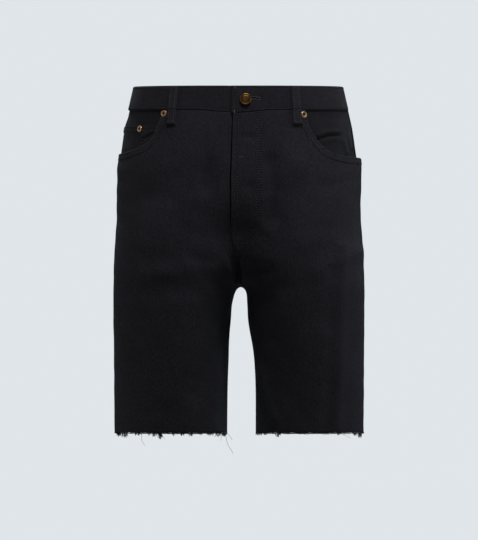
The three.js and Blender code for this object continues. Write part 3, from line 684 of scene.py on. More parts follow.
# Painted shade for the deep crotch seam
CROTCH_SHADE_FINISH = thread_finish("shaded_crotch_seam", (0.0080, 0.0080, 0.0098, 1), 0.85, 0.02)
TACK_FINISH = thread_finish("grey_bartack_thread", (0.085, 0.085, 0.095, 1))
DULL_TACK_FINISH = thread_finish("dull_bartack_thread", (0.046, 0.046, 0.051, 1))
BLACK_TACK_FINISH = thread_finish("black_bartack_thread", (0.014, 0.014, 0.017, 1))
SATIN_FINISH = thread_finish("buttonhole_thread", (0.042, 0.042, 0.048, 1))
LOOP_THREAD_FINISH = thread_finish("belt_loop_thread", (0.13, 0.13, 0.14, 1))
FRINGE_FINISH = thread_finish("black_loose_warp", (0.010, 0.010, 0.013, 1), 0.75)
WEFT_FINISH = thread_finish("pale_weft", (0.34, 0.33, 0.32, 1), 0.7)
COPPER_FINISH = metal_finish("bright_copper", (0.40, 0.25, 0.135, 1), (0.02, 0.012, 0.008, 1), 0.24)
BRASS_FINISH = metal_finish("antique_brass", (0.155, 0.078, 0.026, 1), (0.012, 0.006, 0.003, 1), 0.22)


# Meshes
def settle(piece, slot, *nodes):
    """A finished piece rides the one body and stands for its solids; its slot is not used."""
    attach(piece, "root")
    if nodes:
        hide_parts(*nodes)
    return piece


def mesh_object(name, points, faces, finish, smooth_shading=True):
    """A piece from points in millimetres."""
    mesh = bpy.data.meshes.new(name)
    mesh.from_pydata((np.asarray(points).reshape(-1, 3) * 0.001).tolist(), [],
                     faces.tolist() if isinstance(faces, np.ndarray) else faces)
    mesh.polygons.foreach_set("use_smooth", np.full(len(mesh.polygons), smooth_shading))
    if finish:
        mesh.materials.append(finish)
    piece = bpy.data.objects.new(name, mesh)
    bpy.context.collection.objects.link(piece)
    return piece


def point_attribute(piece, name, values, kind="FLOAT", part="value"):
    layer = piece.data.attributes.new(name, kind, "POINT")
    layer.data.foreach_set(part, np.asarray(values, np.float32).ravel())


def cloth_map(piece, across, down):
    layer = piece.data.uv_layers.new(name="cloth")
    corners = np.empty(len(piece.data.loops), int)
    piece.data.loops.foreach_get("vertex_index", corners)
    places = np.stack([across.ravel(), down.ravel()], -1)[corners]
    layer.data.foreach_set("uv", places.astype(np.float32).ravel())


def wall_faces(rows, columns):
    """Quads of a closed wall: its outer grid, its inner grid after it, and the rim between them."""
    grid = np.arange(rows * columns).reshape(rows, columns)
    outer = np.stack([grid[:-1, :-1], grid[1:, :-1], grid[1:, 1:], grid[:-1, 1:]], -1).reshape(-1, 4)
    inner = outer[:, ::-1] + rows * columns
    rim = np.concatenate([grid[0, :-1], grid[:-1, -1], grid[-1, :0:-1], grid[:0:-1, 0]])
    after = np.roll(rim, -1)
    edge = np.stack([rim, after, after + rows * columns, rim + rows * columns], -1)
    return np.concatenate([outer, inner, edge])


def outward_faces(points, faces):
    a, b, c = (points[faces[:, k]] for k in (0, 1, 2))
    d = points[faces[:, 3]]
    volume = (a * np.cross(b, c)).sum() + (a * np.cross(c, d)).sum()
    return faces if volume > 0 else faces[:, ::-1]


GRAIN_CENTRE, GRAIN_RADIUS = 70.0, 115.0


def cloth(name, side, phi, depth, inner, thickness, finish=DENIM_FINISH, relief=0.0, wear=0.0,
          rounded=(True, True, True, True), grain="upright"):
    """A closed wall of cloth over a grid of places, with soft edges. Its grain is upright or level."""
    phi, depth, inner, thickness, relief, wear = np.broadcast_arrays(
        phi, depth, inner, thickness, relief, wear)
    radius = 0.5 * thickness
    within = np.clip(radius - edge_distance(phi, depth, rounded), 0, 0.98 * radius)
    drop = radius - np.sqrt(radius**2 - within**2)
    seat = Seat(side, phi, depth)
    outer = seat.at(inner + thickness - drop + relief * np.where(within > 0, 0.4, 1))
    under = seat.at(inner + drop)
    points = np.concatenate([outer.reshape(-1, 3), under.reshape(-1, 3)])
    faces = outward_faces(points, wall_faces(*phi.shape))
    piece = mesh_object(name, points, faces, finish)
    edge_wear = np.exp(-edge_distance(phi, depth, rounded) / 1.2)
    worn = np.clip(wear + edge_wear * 0.2, 0, 1).ravel()
    point_attribute(piece, "wear", np.concatenate([worn, 0 * worn]))
    if grain == "upright":
        x, y, down = np.moveaxis(seat.points, -1, 0)
        across = np.arctan2(-y, x - GRAIN_CENTRE) * GRAIN_RADIUS
    else:
        across, down = depth, phi * CHART
    cloth_map(piece, *(np.tile(0.001 * way.ravel(), 2) for way in (across, down)))
    return piece


# Where the stitched rows run
MOUTH_ROWS = (1.9, 8.4)
FELL_ROWS = (2.2, 7.8)
POCKET_ROWS = (2.0, 7.6)
POCKET_HEM_ROWS = (3.0, 11.5)
BAND_ROWS = (2.4, 2.6)
BAND_END_ROW = 5.0
FLY_EDGE_ROW = 8.2
FLY_CURVES = {
    "outer": [(31.8, -20), (31.8, -80), (31.6, -147), (29.2, -175), (20.4, -197.5), (8.8, -209.6), (-1.8, -213)],
    "inner": [(25.8, -20), (25.8, -80), (25.6, -147), (23.6, -172), (15.8, -191.5), (6.4, -203), (-1.8, -206.4)],
}


def mouth_rows(side):
    rows = []
    for distance in MOUTH_ROWS:
        row = beside(MOUTH_CURVES[side], distance)
        on_front = (row[:, 1] > band_seam(row[:, 0]) + 1.2) & (row[:, 0] > 0.6 * MM)
        rows.append(chain(row[on_front]))
    return rows


def edge_row(distance, first, last, edge):
    depths = np.linspace(first, last, 60)
    return chain(np.stack([edge(depths) - distance * MM, depths], -1))


def front_rows(side):
    rows = mouth_rows(side)
    if side == LEFT:
        rows.append(edge_row(FLY_EDGE_ROW, 38, 222, fly_edge))
        for curve in FLY_CURVES.values():
            x, z = spline(curve, 90).T
            rows.append(chain(np.stack([phi_at_x(LEFT, x, z), WAIST_TOP - z], -1)))
        rows += [edge_row(d, 231, hook_point(FRONT_HOOK) - 2, np.ones_like) for d in FELL_ROWS]
    return rows


def back_rows(side):
    point = hook_point(BACK_HOOK)
    centre = lambda depths: -np.ones_like(depths)
    rows = [edge_row(-d, point + 2, SIDE_LENGTH - 1, centre) for d in FELL_ROWS]
    rows.append(line(-2.2 * MM, WAIST_TOP - YOKE_SIDE + 1, -2.2 * MM, 132))
    if side == LEFT:
        rows += [edge_row(-d, WAIST_TOP - YOKE_CENTRE + 1, point - 2, centre) for d in FELL_ROWS]
    return rows


def yoke_rows(side):
    phi = -np.linspace(1.2 * MM, 1 - 1.2 * MM, 60)
    rows = [chain(np.stack([phi, yoke_seam(phi) - d], -1)) for d in FELL_ROWS]
    rows.append(line(-2.2 * MM, 37, -2.2 * MM, WAIST_TOP - YOKE_SIDE - 1))
    if side == LEFT:
        rows += [line(d * MM - 1, 37, d * MM - 1, WAIST_TOP - YOKE_CENTRE - 1) for d in FELL_ROWS]
    return rows


# Panels
FLY_LINE = 0.93
FRONT_ACROSS = spaced(CHART, 2.6, dense=[(188, CHART, 1.35)])
HIP_LENGTH, LEG_LENGTH = 294.0, 170.0
FRONT_HIP = spaced(HIP_LENGTH, 2.8, last=False, dense=[(0, 13, 1.3)])
BACK_HIP = spaced(260.0, 2.8, last=False)
LEG = spaced(LEG_LENGTH, 2.9, first=False, last=False)
LEG_ROW_EASE = 1.2
BAND_TUCK = 0.6
# The band along a pocket mouth: width, lift, and the width of its lighter edge, partly wear and partly painted
# highlight
MouthBand = namedtuple("MouthBand", "width lift worn")
MOUTH_BAND = MouthBand(width=9.6, lift=0.45, worn=2.0)


def panel_depth(hip, hook, top):
    """Rows of a panel from its top edge, by the crotch point, to the hem."""
    point = hook_point(hook)
    upper = lerp(top[None, :], point, hip[:, None])
    lower = np.broadcast_to(lerp(point, SIDE_LENGTH, LEG[1:, None] ** LEG_ROW_EASE), (len(LEG) - 1, len(top)))
    return np.concatenate([upper, lower])


def front_top(side, phi):
    return np.where(phi < mouth_corner(side), mouth_depth(side, phi), band_seam(phi) - BAND_TUCK)


def mouth_band(side, phi, depth):
    """How much a place lies on the doubled band along the pocket mouth, and on its lighter edge, which is partly wear
    and partly painted highlight.
    """
    gap, _ = along_row(phi, depth, MOUTH_CURVES[side][::3])
    return smooth(MOUTH_BAND.width + 0.6, MOUTH_BAND.width - 0.6, gap), smooth(MOUTH_BAND.worn, 0.4, gap)


def denim_front(side, hand):
    rows = front_rows(side)
    lines = SEAM + FRONT_ACROSS * (1 - SEAM)
    depth = panel_depth(FRONT_HIP, FRONT_HOOK, front_top(side, lines))
    edge = fly_edge(depth) if side == LEFT else 2 - fly_edge(depth) + underlap(depth)
    last = smooth(0, 1, (lines - FLY_LINE) / (1 - FLY_LINE)) * 0 + np.clip((lines - FLY_LINE) / (1 - FLY_LINE), 0, 1)
    phi = np.minimum(lines, FLY_LINE) + last * (edge - SEAM - FLY_LINE)
    # The mouth's lighter edge: partly wear, partly painted highlight
    doubled, worn = mouth_band(side, phi, depth)
    piece = cloth(f"denim_front_{hand}", side, phi, depth, front_height(side, phi, depth), DENIM,
                  relief=stitched(phi, depth, rows) + MOUTH_BAND.lift * doubled, wear=0.75 * worn,
                  rounded=(True, False, True, True))
    return settle(piece, "denim", f"front_{hand}"), rows


def back_across(step=2.6, dense=()):
    return -(SEAM + spaced(CHART, step, dense=dense) * (1 - 2 * SEAM))


def denim_back(side, hand):
    rows = back_rows(side)
    lines = back_across(dense=[(225, CHART, 1.4)])
    depth = panel_depth(BACK_HIP, BACK_HOOK, yoke_seam(lines))
    phi = np.broadcast_to(lines, depth.shape)
    inner = mouth_lift(side, phi, depth) - 0.5 * DENIM
    piece = cloth(f"denim_back_{hand}", side, phi, depth, inner, DENIM,
                  relief=stitched(phi, depth, rows), rounded=(True, False, True, True))
    return settle(piece, "denim", f"back_{hand}"), rows


def denim_yoke(side, hand):
    rows = yoke_rows(side)
    lines = back_across(2.2)
    down = spaced(40.0, 1.5)[:, None]
    depth = lerp(band_seam(lines) - BAND_TUCK, yoke_seam(lines), down)
    phi = np.broadcast_to(lines, depth.shape)
    inner = mouth_lift(side, phi, depth) - 0.5 * DENIM
    piece = cloth(f"denim_yoke_{hand}", side, phi, depth, inner, DENIM,
                  relief=stitched(phi, depth, rows))
    return settle(piece, "denim", f"yoke_{hand}"), rows


# The wrinkle and soft creases that show in the left pocket's facing, and the one across the coin
# pocket: points x, z, then width and height
FACING_CREASES = {
    LEFT: [([(106, -66), (112.5, -60), (119, -56.4), (129, -53.4), (140, -52.2), (153, -53)], 1.9, -4.4),
           ([(110, -57), (120, -52), (130, -48.6), (148, -47.6)], 3.6, 2.2),
           ([(116, -64), (130, -59), (146, -58)], 4.4, 1.4), ([(151, -58), (158, -82)], 2.6, 1.6),
           ([(159, -50), (164, -76)], 2.2, 1.2), ([(108, -26), (158, -30)], 5.0, -0.8)],
    RIGHT: [([(-140, -60), (-122, -51)], 2.4, -1.5), ([(-140, -56), (-124, -47)], 3.0, 1.0),
            ([(-112, -28), (-158, -31)], 4.0, -0.9)],
}
CREASE_FADE = 0.18


def crease_height(side, phi, depth, creases):
    """Creases along bent lines, which fade out at both ends."""
    at = Seat(side, phi, depth).at(np.zeros(phi.shape))
    spot = at[..., (0, 2)]
    height = np.zeros(phi.shape)
    for points, width, rise in creases:
        line_points = np.array(points, float)
        gap, along = np.full(phi.shape, 99.0), np.zeros(phi.shape)
        legs = len(line_points) - 1
        for leg in range(legs):
            run = line_points[leg + 1] - line_points[leg]
            t = np.clip(((spot - line_points[leg]) * run).sum(-1) / (run @ run), 0, 1)
            here = np.linalg.norm(spot - line_points[leg] - t[..., None] * run, axis=-1)
            along = np.where(here < gap, (leg + t) / legs, along)
            gap = np.minimum(here, gap)
        fade = smooth(0, CREASE_FADE, along) * smooth(1, 1 - CREASE_FADE, along)
        height += rise * np.exp(-((gap / width) ** 2)) * fade
    return height


def under_mouth(side, across=2.0):
    """The upright lines that the facing and the coin pocket share."""
    corner = mouth_corner(side)
    width = (corner + 8 * MM - SEAM) * CHART
    return SEAM + spaced(width, across) * (corner + 8 * MM - SEAM)


def pocket_facing(side, hand):
    lines = np.concatenate([np.array([-10, -7.5, -5, -2.5]) * MM, under_mouth(side)])
    down = spaced(70.0, 1.7)[:, None]
    depth = lerp(band_seam(lines) - BAND_TUCK, mouth_depth(side, lines) + FACING_DROP, down)
    phi = np.broadcast_to(lines, depth.shape)
    creases = crease_height(side, phi, depth, FACING_CREASES[side]) * smooth(2, -5, depth - mouth_depth(side, phi))
    height = facing_height(side, phi, depth) + (creases if side == LEFT else 0)
    piece = cloth(f"pocket_facing_cloth_{hand}", side, phi, depth, height, LINING_CLOTH, SHADED_FACING_FINISH)
    return settle(piece, "denim", f"pocket_facing_{hand}")


def coin_height(phi, depth):
    return facing_height(RIGHT, phi, depth) + LINING_CLOTH + COIN_LIFT


COIN_SEAM_X = 139.0
COIN_LIFT = 0.45


def coin_rows():
    top = WAIST_TOP - COIN_TOP
    upright = phi_at_x(RIGHT, COIN_SEAM_X, -50)
    rows = [line(1.5 * MM, top + 2.2, mouth_corner(RIGHT) - 26 * MM, top + 2.2),
            line(1.5 * MM, top + 8, mouth_corner(RIGHT) - 30 * MM, top + 8)]
    rows += [line(float(upright) + d * MM, top + 9, float(upright) + d * MM, top + 34) for d in (0, 5.5)]
    return rows


def coin_pocket_cloth():
    lines = under_mouth(RIGHT)[:-4]
    top = WAIST_TOP - COIN_TOP
    bottom = np.maximum(mouth_depth(RIGHT, lines), top) + COIN_DROP
    depth = lerp(np.full_like(bottom, top), bottom, spaced(40.0, 1.4)[:, None])
    phi = np.broadcast_to(lines, depth.shape)
    rows = coin_rows()
    relief = stitched(phi, depth, rows) + crease_height(RIGHT, phi, depth, FACING_CREASES[RIGHT])
    piece = cloth("coin_pocket_cloth", RIGHT, phi, depth, coin_height(phi, depth), LINING_CLOTH - 0.2, SHADED_FACING_FINISH,
                  relief=relief, wear=0.1)
    return settle(piece, "denim", "coin_pocket"), rows


# Back pockets
BackPocket = namedtuple("BackPocket", "top side point inner outer slant")
BACK_POCKET = BackPocket(top=-92.0, side=-198.0, point=-214.0, inner=0.79, outer=0.2, slant=0.009)
POCKET_SEAT = 0.5 * DENIM + LAYER_CLEAR


def pocket_place(across, down):
    """Place on a back pocket: across from its outer to its inner edge, down from its top."""
    slant = BACK_POCKET.slant * (2 * down - 1)
    phi = -lerp(BACK_POCKET.outer + slant, BACK_POCKET.inner - slant, across)
    point = (BACK_POCKET.side - BACK_POCKET.point) * (1 - np.abs(2 * across - 1))
    depth = lerp(WAIST_TOP - BACK_POCKET.top, WAIST_TOP - BACK_POCKET.side + point, down)
    return phi, depth


def pocket_rows():
    width = (BACK_POCKET.inner - BACK_POCKET.outer) * CHART
    length = BACK_POCKET.top - BACK_POCKET.side
    rows = []
    for d in POCKET_ROWS:
        a, b = d / width, d / length
        outline = [(a, 0.01), (a, 1 - b), (0.5, 1 - 0.85 * b), (1 - a, 1 - b), (1 - a, 0.01)]
        across, down = np.concatenate([np.linspace(p, q, 30) for p, q in zip(outline, outline[1:])]).T
        rows.append(chain(np.stack(pocket_place(across, down), -1)))
    for d in POCKET_HEM_ROWS:
        across = np.linspace(2.5 / width, 1 - 2.5 / width, 50)
        rows.append(chain(np.stack(pocket_place(across, np.full(50, d / length)), -1)))
    return rows


def denim_back_pocket(side, hand):
    rows = pocket_rows()
    across, down = np.meshgrid(spaced(140.0, 2.2), spaced(110.0, 2.2, dense=[(0, 14, 1.3), (96, 110, 1.4)]))
    phi, depth = pocket_place(across, down)
    hem = 0.5 * smooth(14, 12.5, down * 110.0)
    sag = 0.5 * np.sin(math.pi * across) * np.sin(math.pi * down) + 0.8 * np.sin(math.pi * across) * np.exp(-down * 14)
    piece = cloth(f"denim_back_pocket_{hand}", side, phi, depth, POCKET_SEAT + sag, DENIM,
                  relief=stitched(phi, depth, rows) + hem, wear=0.15 * smooth(5, 1, down * 110.0))
    return settle(piece, "denim", f"back_pocket_{hand}"), rows


# Waistband. q runs round it from the centre back: to the wearer's right below 0, to the left above.
BAND_LIFT = 0.7
BUTTON_X, BUTTON_Z = 9.6, -1.6
HOLE = [(3.0, -0.3), (18.0, 0.6), (31.0, -1.6)]
HOLE_HALF, HOLE_STITCH = 1.5, 1.7


def band_side(q):
    return np.where(q < 0, RIGHT, LEFT), -1 + np.abs(q)


def band_seat(q, depth):
    side, phi = band_side(q)
    return Seat(side, phi, depth)


def band_sunk(q):
    under = BAND.thickness + GAP
    return np.where(q < 0, under * smooth(1 - 20 * MM, 1 - 9 * MM, -1 + np.abs(q)), 0)


BAND_START, BAND_END = -2 - BAND.underlap * MM, 2 + BAND.overlap * MM


def band_rows():
    q = np.linspace(BAND_START + 2 * MM, BAND_END - 2.2 * MM, 900)
    top = np.full_like(q, BAND_ROWS[0])
    bottom = band_seam(band_side(q)[1]) - BAND_ROWS[1]
    end = BAND_END - BAND_END_ROW * MM
    return [chain(np.stack([q, top], -1)), chain(np.stack([q, bottom], -1)),
            line(end, BAND_ROWS[0] + 2, end, float(bottom[-1]) - 2)]


def hole_row():
    """The slit of the buttonhole, as places q, depth."""
    x, z = spline(HOLE, 40).T
    return chain(np.stack([1 + phi_at_x(LEFT, x, z), WAIST_TOP - z], -1))


def denim_waistband():
    rows = band_rows()
    length = (BAND_END - BAND_START) * CHART
    dense = [(length - 46, length, 0.9)]
    q = BAND_START + spaced(length, 2.4, dense=dense) * (BAND_END - BAND_START)
    down = spaced(34.7, 1.5)[:, None]
    depth = down * band_seam(band_side(q)[1])
    q = np.broadcast_to(q, depth.shape)
    side, phi = band_side(q)
    slit, _ = along_row(q, depth, hole_row())
    relief = BAND_LIFT + stitched(q, depth, rows) - 1.0 * np.exp(-((slit / 1.0) ** 2))
    inner = BAND.face - BAND.thickness - band_sunk(q)
    piece = cloth("denim_waistband", side, phi, depth, inner, BAND.thickness, BAND_FINISH, relief=relief,
                  grain="level")
    return settle(piece, "denim", "waistband"), rows


# Belt loops
Loop = namedtuple("Loop", "width thickness top bottom bow")
LOOP = Loop(width=13.0, thickness=1.8, top=17.4, bottom=-38.5, bow=1.3)
LOOP_ROW = 3.9
LOOP_PLACES = {
    "front_right": (RIGHT, (92.1, 97.3), None), "front_left": (LEFT, (79.9, 83.8), None),
    "side_right": (RIGHT, None, -0.3), "side_left": (LEFT, None, -0.3), "back": (LEFT, None, -1.0),
}


def loop_places(name, down, across_mm):
    """Places along a loop at distances beside its centre line."""
    side, front_x, phi = LOOP_PLACES[name]
    z = lerp(LOOP.top, LOOP.bottom, down)
    if front_x:
        phi = phi_at_x(side, lerp(front_x[0], front_x[1], down), z)
    return side, phi + across_mm * MM, WAIST_TOP - z


def loop_inner(side, phi, depth, down):
    cloth_top = np.where(phi < 0, 0.5 * DENIM, front_height(side, phi, depth) + DENIM)
    on_band = smooth(0.62, 0.56, down)
    seat = np.maximum(lerp(cloth_top, BAND.face + BAND_LIFT, on_band), cloth_top) + GAP + 0.1
    bow = LOOP.bow * np.sin(math.pi * np.clip(down, 0, 1)) ** 0.8
    return seat + bow


def belt_loop(name):
    across, down = np.meshgrid(spaced(LOOP.width, 0.9) - 0.5, spaced(LOOP.top - LOOP.bottom, 1.1))
    side, phi, depth = loop_places(name, down[:, 0], 0)
    phi, depth = phi + np.zeros(1) if np.ndim(phi) == 0 else phi, depth
    phi = np.broadcast_to(np.reshape(phi, (-1, 1)), down.shape) + across * LOOP.width * MM
    depth = np.broadcast_to(depth[:, None], down.shape)
    x = across * LOOP.width
    crown = 0.35 * (1 - (x / 6.5) ** 2) - 0.3 * np.exp(-(((np.abs(x) - LOOP_ROW) / 0.8) ** 2))
    folded = 0.75 * smooth(0.9, 0.94, down) + 0.3 * smooth(0.09, 0.04, down)
    run = down * (LOOP.top - LOOP.bottom)
    pucker = 0.1 * np.sin(2 * math.pi * run / 4.8) * np.exp(-(((np.abs(x) - LOOP_ROW) / 1.6) ** 2))
    piece = cloth(f"denim_loop_{name}", side, phi, depth, loop_inner(side, phi, depth, down),
                  LOOP.thickness, relief=crown + folded + pucker, wear=0.12)
    return settle(piece, "denim", f"belt_loop_{name}")


# Geometry Nodes for what repeats
class Recipe:
    """A geometry node tree with named inputs."""

    def __init__(self, name, inputs):
        self.tree = bpy.data.node_groups.new(name, "GeometryNodeTree")
        self.tree.interface.new_socket("Geometry", in_out="INPUT", socket_type="NodeSocketGeometry")
        for label, kind in inputs.items():
            self.tree.interface.new_socket(label, in_out="INPUT", socket_type=kind)
        self.tree.interface.new_socket("Geometry", in_out="OUTPUT", socket_type="NodeSocketGeometry")
        self.given = self.tree.nodes.new("NodeGroupInput").outputs

    def node(self, kind, settings=None, sockets=None, output=0):
        made = self.tree.nodes.new(kind)
        for key, value in (settings or {}).items():
            setattr(made, key, value)
        for key, value in (sockets or {}).items():
            socket = next(s for s in made.inputs if s.identifier == key)
            if isinstance(value, bpy.types.NodeSocket):
                self.tree.links.new(value, socket)
            else:
                socket.default_value = value
        return made.outputs[output]

    def end(self, geometry):
        plain = self.node("GeometryNodeRealizeInstances", None, {"Geometry": geometry})
        soft = self.node("GeometryNodeSetShadeSmooth", None, {"Geometry": plain})
        last = self.node("GeometryNodeSetMaterial", None, {"Geometry": soft, "Material": self.given["Finish"]})
        self.tree.links.new(last, self.tree.nodes.new("NodeGroupOutput").inputs[0])
        return self.tree


def stitch_recipe():
    """A capsule of thread at every step along each row, lying along it or across it, on the cloth."""
    recipe = Recipe("stitched_rows", {
        "Pitch": "NodeSocketFloat", "Size": "NodeSocketVector", "Across": "NodeSocketFloat",
        "Unevenness": "NodeSocketFloat", "Seed": "NodeSocketInt", "Finish": "NodeSocketMaterial"})
    given, node = recipe.given, recipe.node
    rows = node("GeometryNodeMeshToCurve", None, {"Mesh": given["Geometry"]})
    places = node("GeometryNodeResampleCurve", {"mode": "LENGTH"}, {"Curve": rows, "Length": given["Pitch"]})
    out = node("GeometryNodeInputNamedAttribute", {"data_type": "FLOAT_VECTOR"}, {"Name": "out"})
    along = node("GeometryNodeInputTangent")
    square = node("ShaderNodeVectorMath", {"operation": "CROSS_PRODUCT"}, {"Vector": out, "Vector_001": along})
    way = node("ShaderNodeMix", {"data_type": "VECTOR"}, {
        "Factor_Float": given["Across"], "A_Vector": along, "B_Vector": square}, 1)
    lie = node("FunctionNodeAlignRotationToVector", {"axis": "X"}, {"Vector": way})
    lie = node("FunctionNodeAlignRotationToVector", {"axis": "Z", "pivot_axis": "X"}, {"Rotation": lie, "Vector": out})
    low = node("ShaderNodeMath", {"operation": "SUBTRACT"}, {"Value": 1.0, "Value_001": given["Unevenness"]})
    high = node("ShaderNodeMath", {"operation": "ADD"}, {"Value": 1.0, "Value_001": given["Unevenness"]})
    vary = node("FunctionNodeRandomValue", {"data_type": "FLOAT"}, {
        "Min_001": low, "Max_001": high, "Seed": given["Seed"]}, 1)
    size = node("ShaderNodeVectorMath", {"operation": "SCALE"}, {"Vector": given["Size"], "Scale": vary})
    capsule = node("GeometryNodeMeshUVSphere", None, {"Segments": 6, "Rings": 5, "Radius": 0.5})
    sewn = node("GeometryNodeInstanceOnPoints", None, {
        "Points": places, "Instance": capsule, "Rotation": lie, "Scale": size})
    return recipe.end(sewn)


def thread_recipe():
    """A round thread along each chain of points, its thickness from the attribute 'taper'."""
    recipe = Recipe("loose_threads", {
        "Radius": "NodeSocketFloat", "Sides": "NodeSocketInt", "Finish": "NodeSocketMaterial"})
    given, node = recipe.given, recipe.node
    chains = node("GeometryNodeMeshToCurve", None, {"Mesh": given["Geometry"]})
    ring = node("GeometryNodeCurvePrimitiveCircle", None, {"Resolution": given["Sides"], "Radius": given["Radius"]})
    taper = node("GeometryNodeInputNamedAttribute", {"data_type": "FLOAT"}, {"Name": "taper"})
    spun = node("GeometryNodeCurveToMesh", None, {
        "Curve": chains, "Profile Curve": ring, "Scale": taper, "Fill Caps": True})
    return recipe.end(spun)


STITCH_RECIPE, THREAD_RECIPE = stitch_recipe(), thread_recipe()


def made_by(recipe, chains, name, values):
    """Runs a recipe over chains of points and keeps the result as a plain mesh."""
    modifier = chains.modifiers.new("recipe", "NODES")
    modifier.node_group = recipe
    for item in recipe.interface.items_tree:
        if item.item_type == "SOCKET" and item.in_out == "INPUT" and item.name in values:
            modifier[item.identifier] = values[item.name]
    depsgraph = bpy.context.evaluated_depsgraph_get()
    mesh = bpy.data.meshes.new_from_object(chains.evaluated_get(depsgraph))
    mesh.name = name
    bpy.data.objects.remove(chains)
    piece = bpy.data.objects.new(name, mesh)
    bpy.context.collection.objects.link(piece)
    return piece


class Chains:
    """Chains of points in millimetres, each point with a vector or a number of its own."""

    def __init__(self):
        self.points, self.extras, self.edges, self.count = [], [], [], 0

    def add(self, points, extras):
        self.points.append(points)
        self.extras.append(extras)
        self.edges += [(self.count + k, self.count + k + 1) for k in range(len(points) - 1)]
        self.count += len(points)

    def piece(self, attribute, kind, part):
        mesh = bpy.data.meshes.new("chains")
        mesh.from_pydata((np.concatenate(self.points) * 0.001).tolist(), self.edges, [])
        piece = bpy.data.objects.new("chains", mesh)
        bpy.context.collection.objects.link(piece)
        point_attribute(piece, attribute, np.concatenate(self.extras), kind, part)
        return piece


# Sewing
Thread = namedtuple("Thread", "pitch length width height across uneven lift")
TOPSTITCH = Thread(pitch=3.7, length=2.5, width=0.62, height=0.4, across=0.0, uneven=0.1, lift=0.12)
# A flat dark strip under a row: painted shade for its groove, also used beside the fly and along the buttonhole slit
GROOVE_SHADE = Thread(pitch=1.6, length=2.6, width=1.8, height=0.3, across=0.0, uneven=0.12, lift=0.0)
BARTACK = Thread(pitch=0.5, length=2.0, width=0.62, height=0.6, across=1.0, uneven=0.14, lift=0.1)
SATIN = Thread(pitch=0.55, length=HOLE_STITCH, width=0.68, height=0.8, across=1.0, uneven=0.1, lift=0.15)


class Sewing:
    """All the rows that go into one piece of thread work."""

    def __init__(self, name, thread, finish, seed=1):
        self.name, self.thread, self.finish, self.seed = name, thread, finish, seed
        self.chains = Chains()
        # Each topstitched row also gets a dark strip of painted shade under its thread
        self.groove = Sewing(f"painted_groove_shade_{name}", GROOVE_SHADE, GROOVE_SHADE_FINISH, seed) if thread is TOPSTITCH else None

    def row(self, seat, height):
        self.chains.add(seat.at(height + self.thread.lift), seat.out())
        if self.groove:
            self.groove.row(seat, height)

    def finished(self):
        thread = self.thread
        if self.groove:
            self.groove.finished()
        piece = made_by(STITCH_RECIPE, self.chains.piece("out", "FLOAT_VECTOR", "vector"), self.name, {
            "Pitch": thread.pitch * 0.001,
            "Size": (thread.length * 0.001, thread.width * 0.001, thread.height * 0.001),
            "Across": thread.across, "Unevenness": thread.uneven, "Seed": self.seed, "Finish": self.finish})
        return settle(piece, "denim")


def panel_top(side, phi, depth):
    """The outer face of a front, back or yoke."""
    return np.where(phi >= 0, front_height(side, np.abs(phi), depth), mouth_lift(side, phi, depth) - 0.5 * DENIM) + DENIM


def sew_panel(name, side, rows, seed, doubled=0):
    """Rows on a panel, the first few of them on the doubled band of its pocket mouth."""
    sewing = Sewing(name, TOPSTITCH, THREAD_FINISH, seed=seed)
    for number, row in enumerate(rows):
        phi, depth = row.T
        lift = MOUTH_BAND.lift if number < doubled else 0
        sewing.row(Seat(side, phi, depth), panel_top(side, phi, depth) + lift)
    return sewing.finished()


def sew_waistband(rows):
    sewing = Sewing("stitches_waistband", TOPSTITCH, THREAD_FINISH, seed=3)
    for row in rows:
        q, depth = row.T
        sewing.row(band_seat(q, depth), BAND.face + BAND_LIFT - band_sunk(q))
    return sewing.finished()


def sew_coin_pocket(rows):
    sewing = Sewing("stitches_coin_pocket", TOPSTITCH, THREAD_FINISH, seed=5)
    for row in rows:
        phi, depth = row.T
        sewing.row(Seat(RIGHT, phi, depth), coin_height(phi, depth) + LINING_CLOTH - 0.2)
    return sewing.finished()


def sew_back_pocket(side, hand, rows, seed):
    sewing = Sewing(f"stitches_back_pocket_{hand}", TOPSTITCH, THREAD_FINISH, seed=seed)
    for row in rows:
        phi, depth = row.T
        sewing.row(Seat(side, phi, depth), POCKET_SEAT + DENIM + 0.5)
    return sewing.finished()


def sew_loops():
    sewing = Sewing("stitches_belt_loops", TOPSTITCH, LOOP_THREAD_FINISH, seed=11)
    tacks = Sewing("bartacks_belt_loops", BARTACK, BLACK_TACK_FINISH, seed=12)
    for name in LOOP_PLACES:
        for offset in (-LOOP_ROW, LOOP_ROW):
            down = np.linspace(0.09, 0.89, 40)
            side, phi, depth = loop_places(name, down, offset)
            phi = np.broadcast_to(phi, depth.shape)
            sewing.row(Seat(side, phi, depth), loop_inner(side, phi, depth, down) + LOOP.thickness + 0.1)
        for down, raised in ((0.05, 0.4), (0.955, 0.9)):
            across = np.linspace(-4.6, 4.6, 12)
            side, phi, depth = loop_places(name, np.full(12, down), across)
            sewing_down = np.full(12, down)
            tacks.row(Seat(side, phi, depth), loop_inner(side, phi, depth, sewing_down) + LOOP.thickness + raised)
    return sewing.finished(), tacks.finished()


def sew_black_bartacks():
    """The dark bars at the pocket corners and the coin pocket."""
    tacks = Sewing("bartacks_black", BARTACK, BLACK_TACK_FINISH, seed=21)
    for side in (RIGHT, LEFT):
        for across, way in ((0.02, 1), (0.98, -1)):
            phi, depth = pocket_place(np.full(8, across + way * 0.01), np.linspace(0.01, 0.09, 8))
            tacks.row(Seat(side, phi, depth), np.full(8, POCKET_SEAT + DENIM + 0.5))
    z = np.full(8, -198.0)
    phi = 2 - phi_at_x(RIGHT, np.linspace(8.5, 2, 8), z)
    tacks.row(Seat(LEFT, phi, WAIST_TOP - z), panel_top(LEFT, phi, WAIST_TOP - z))
    return tacks.finished()


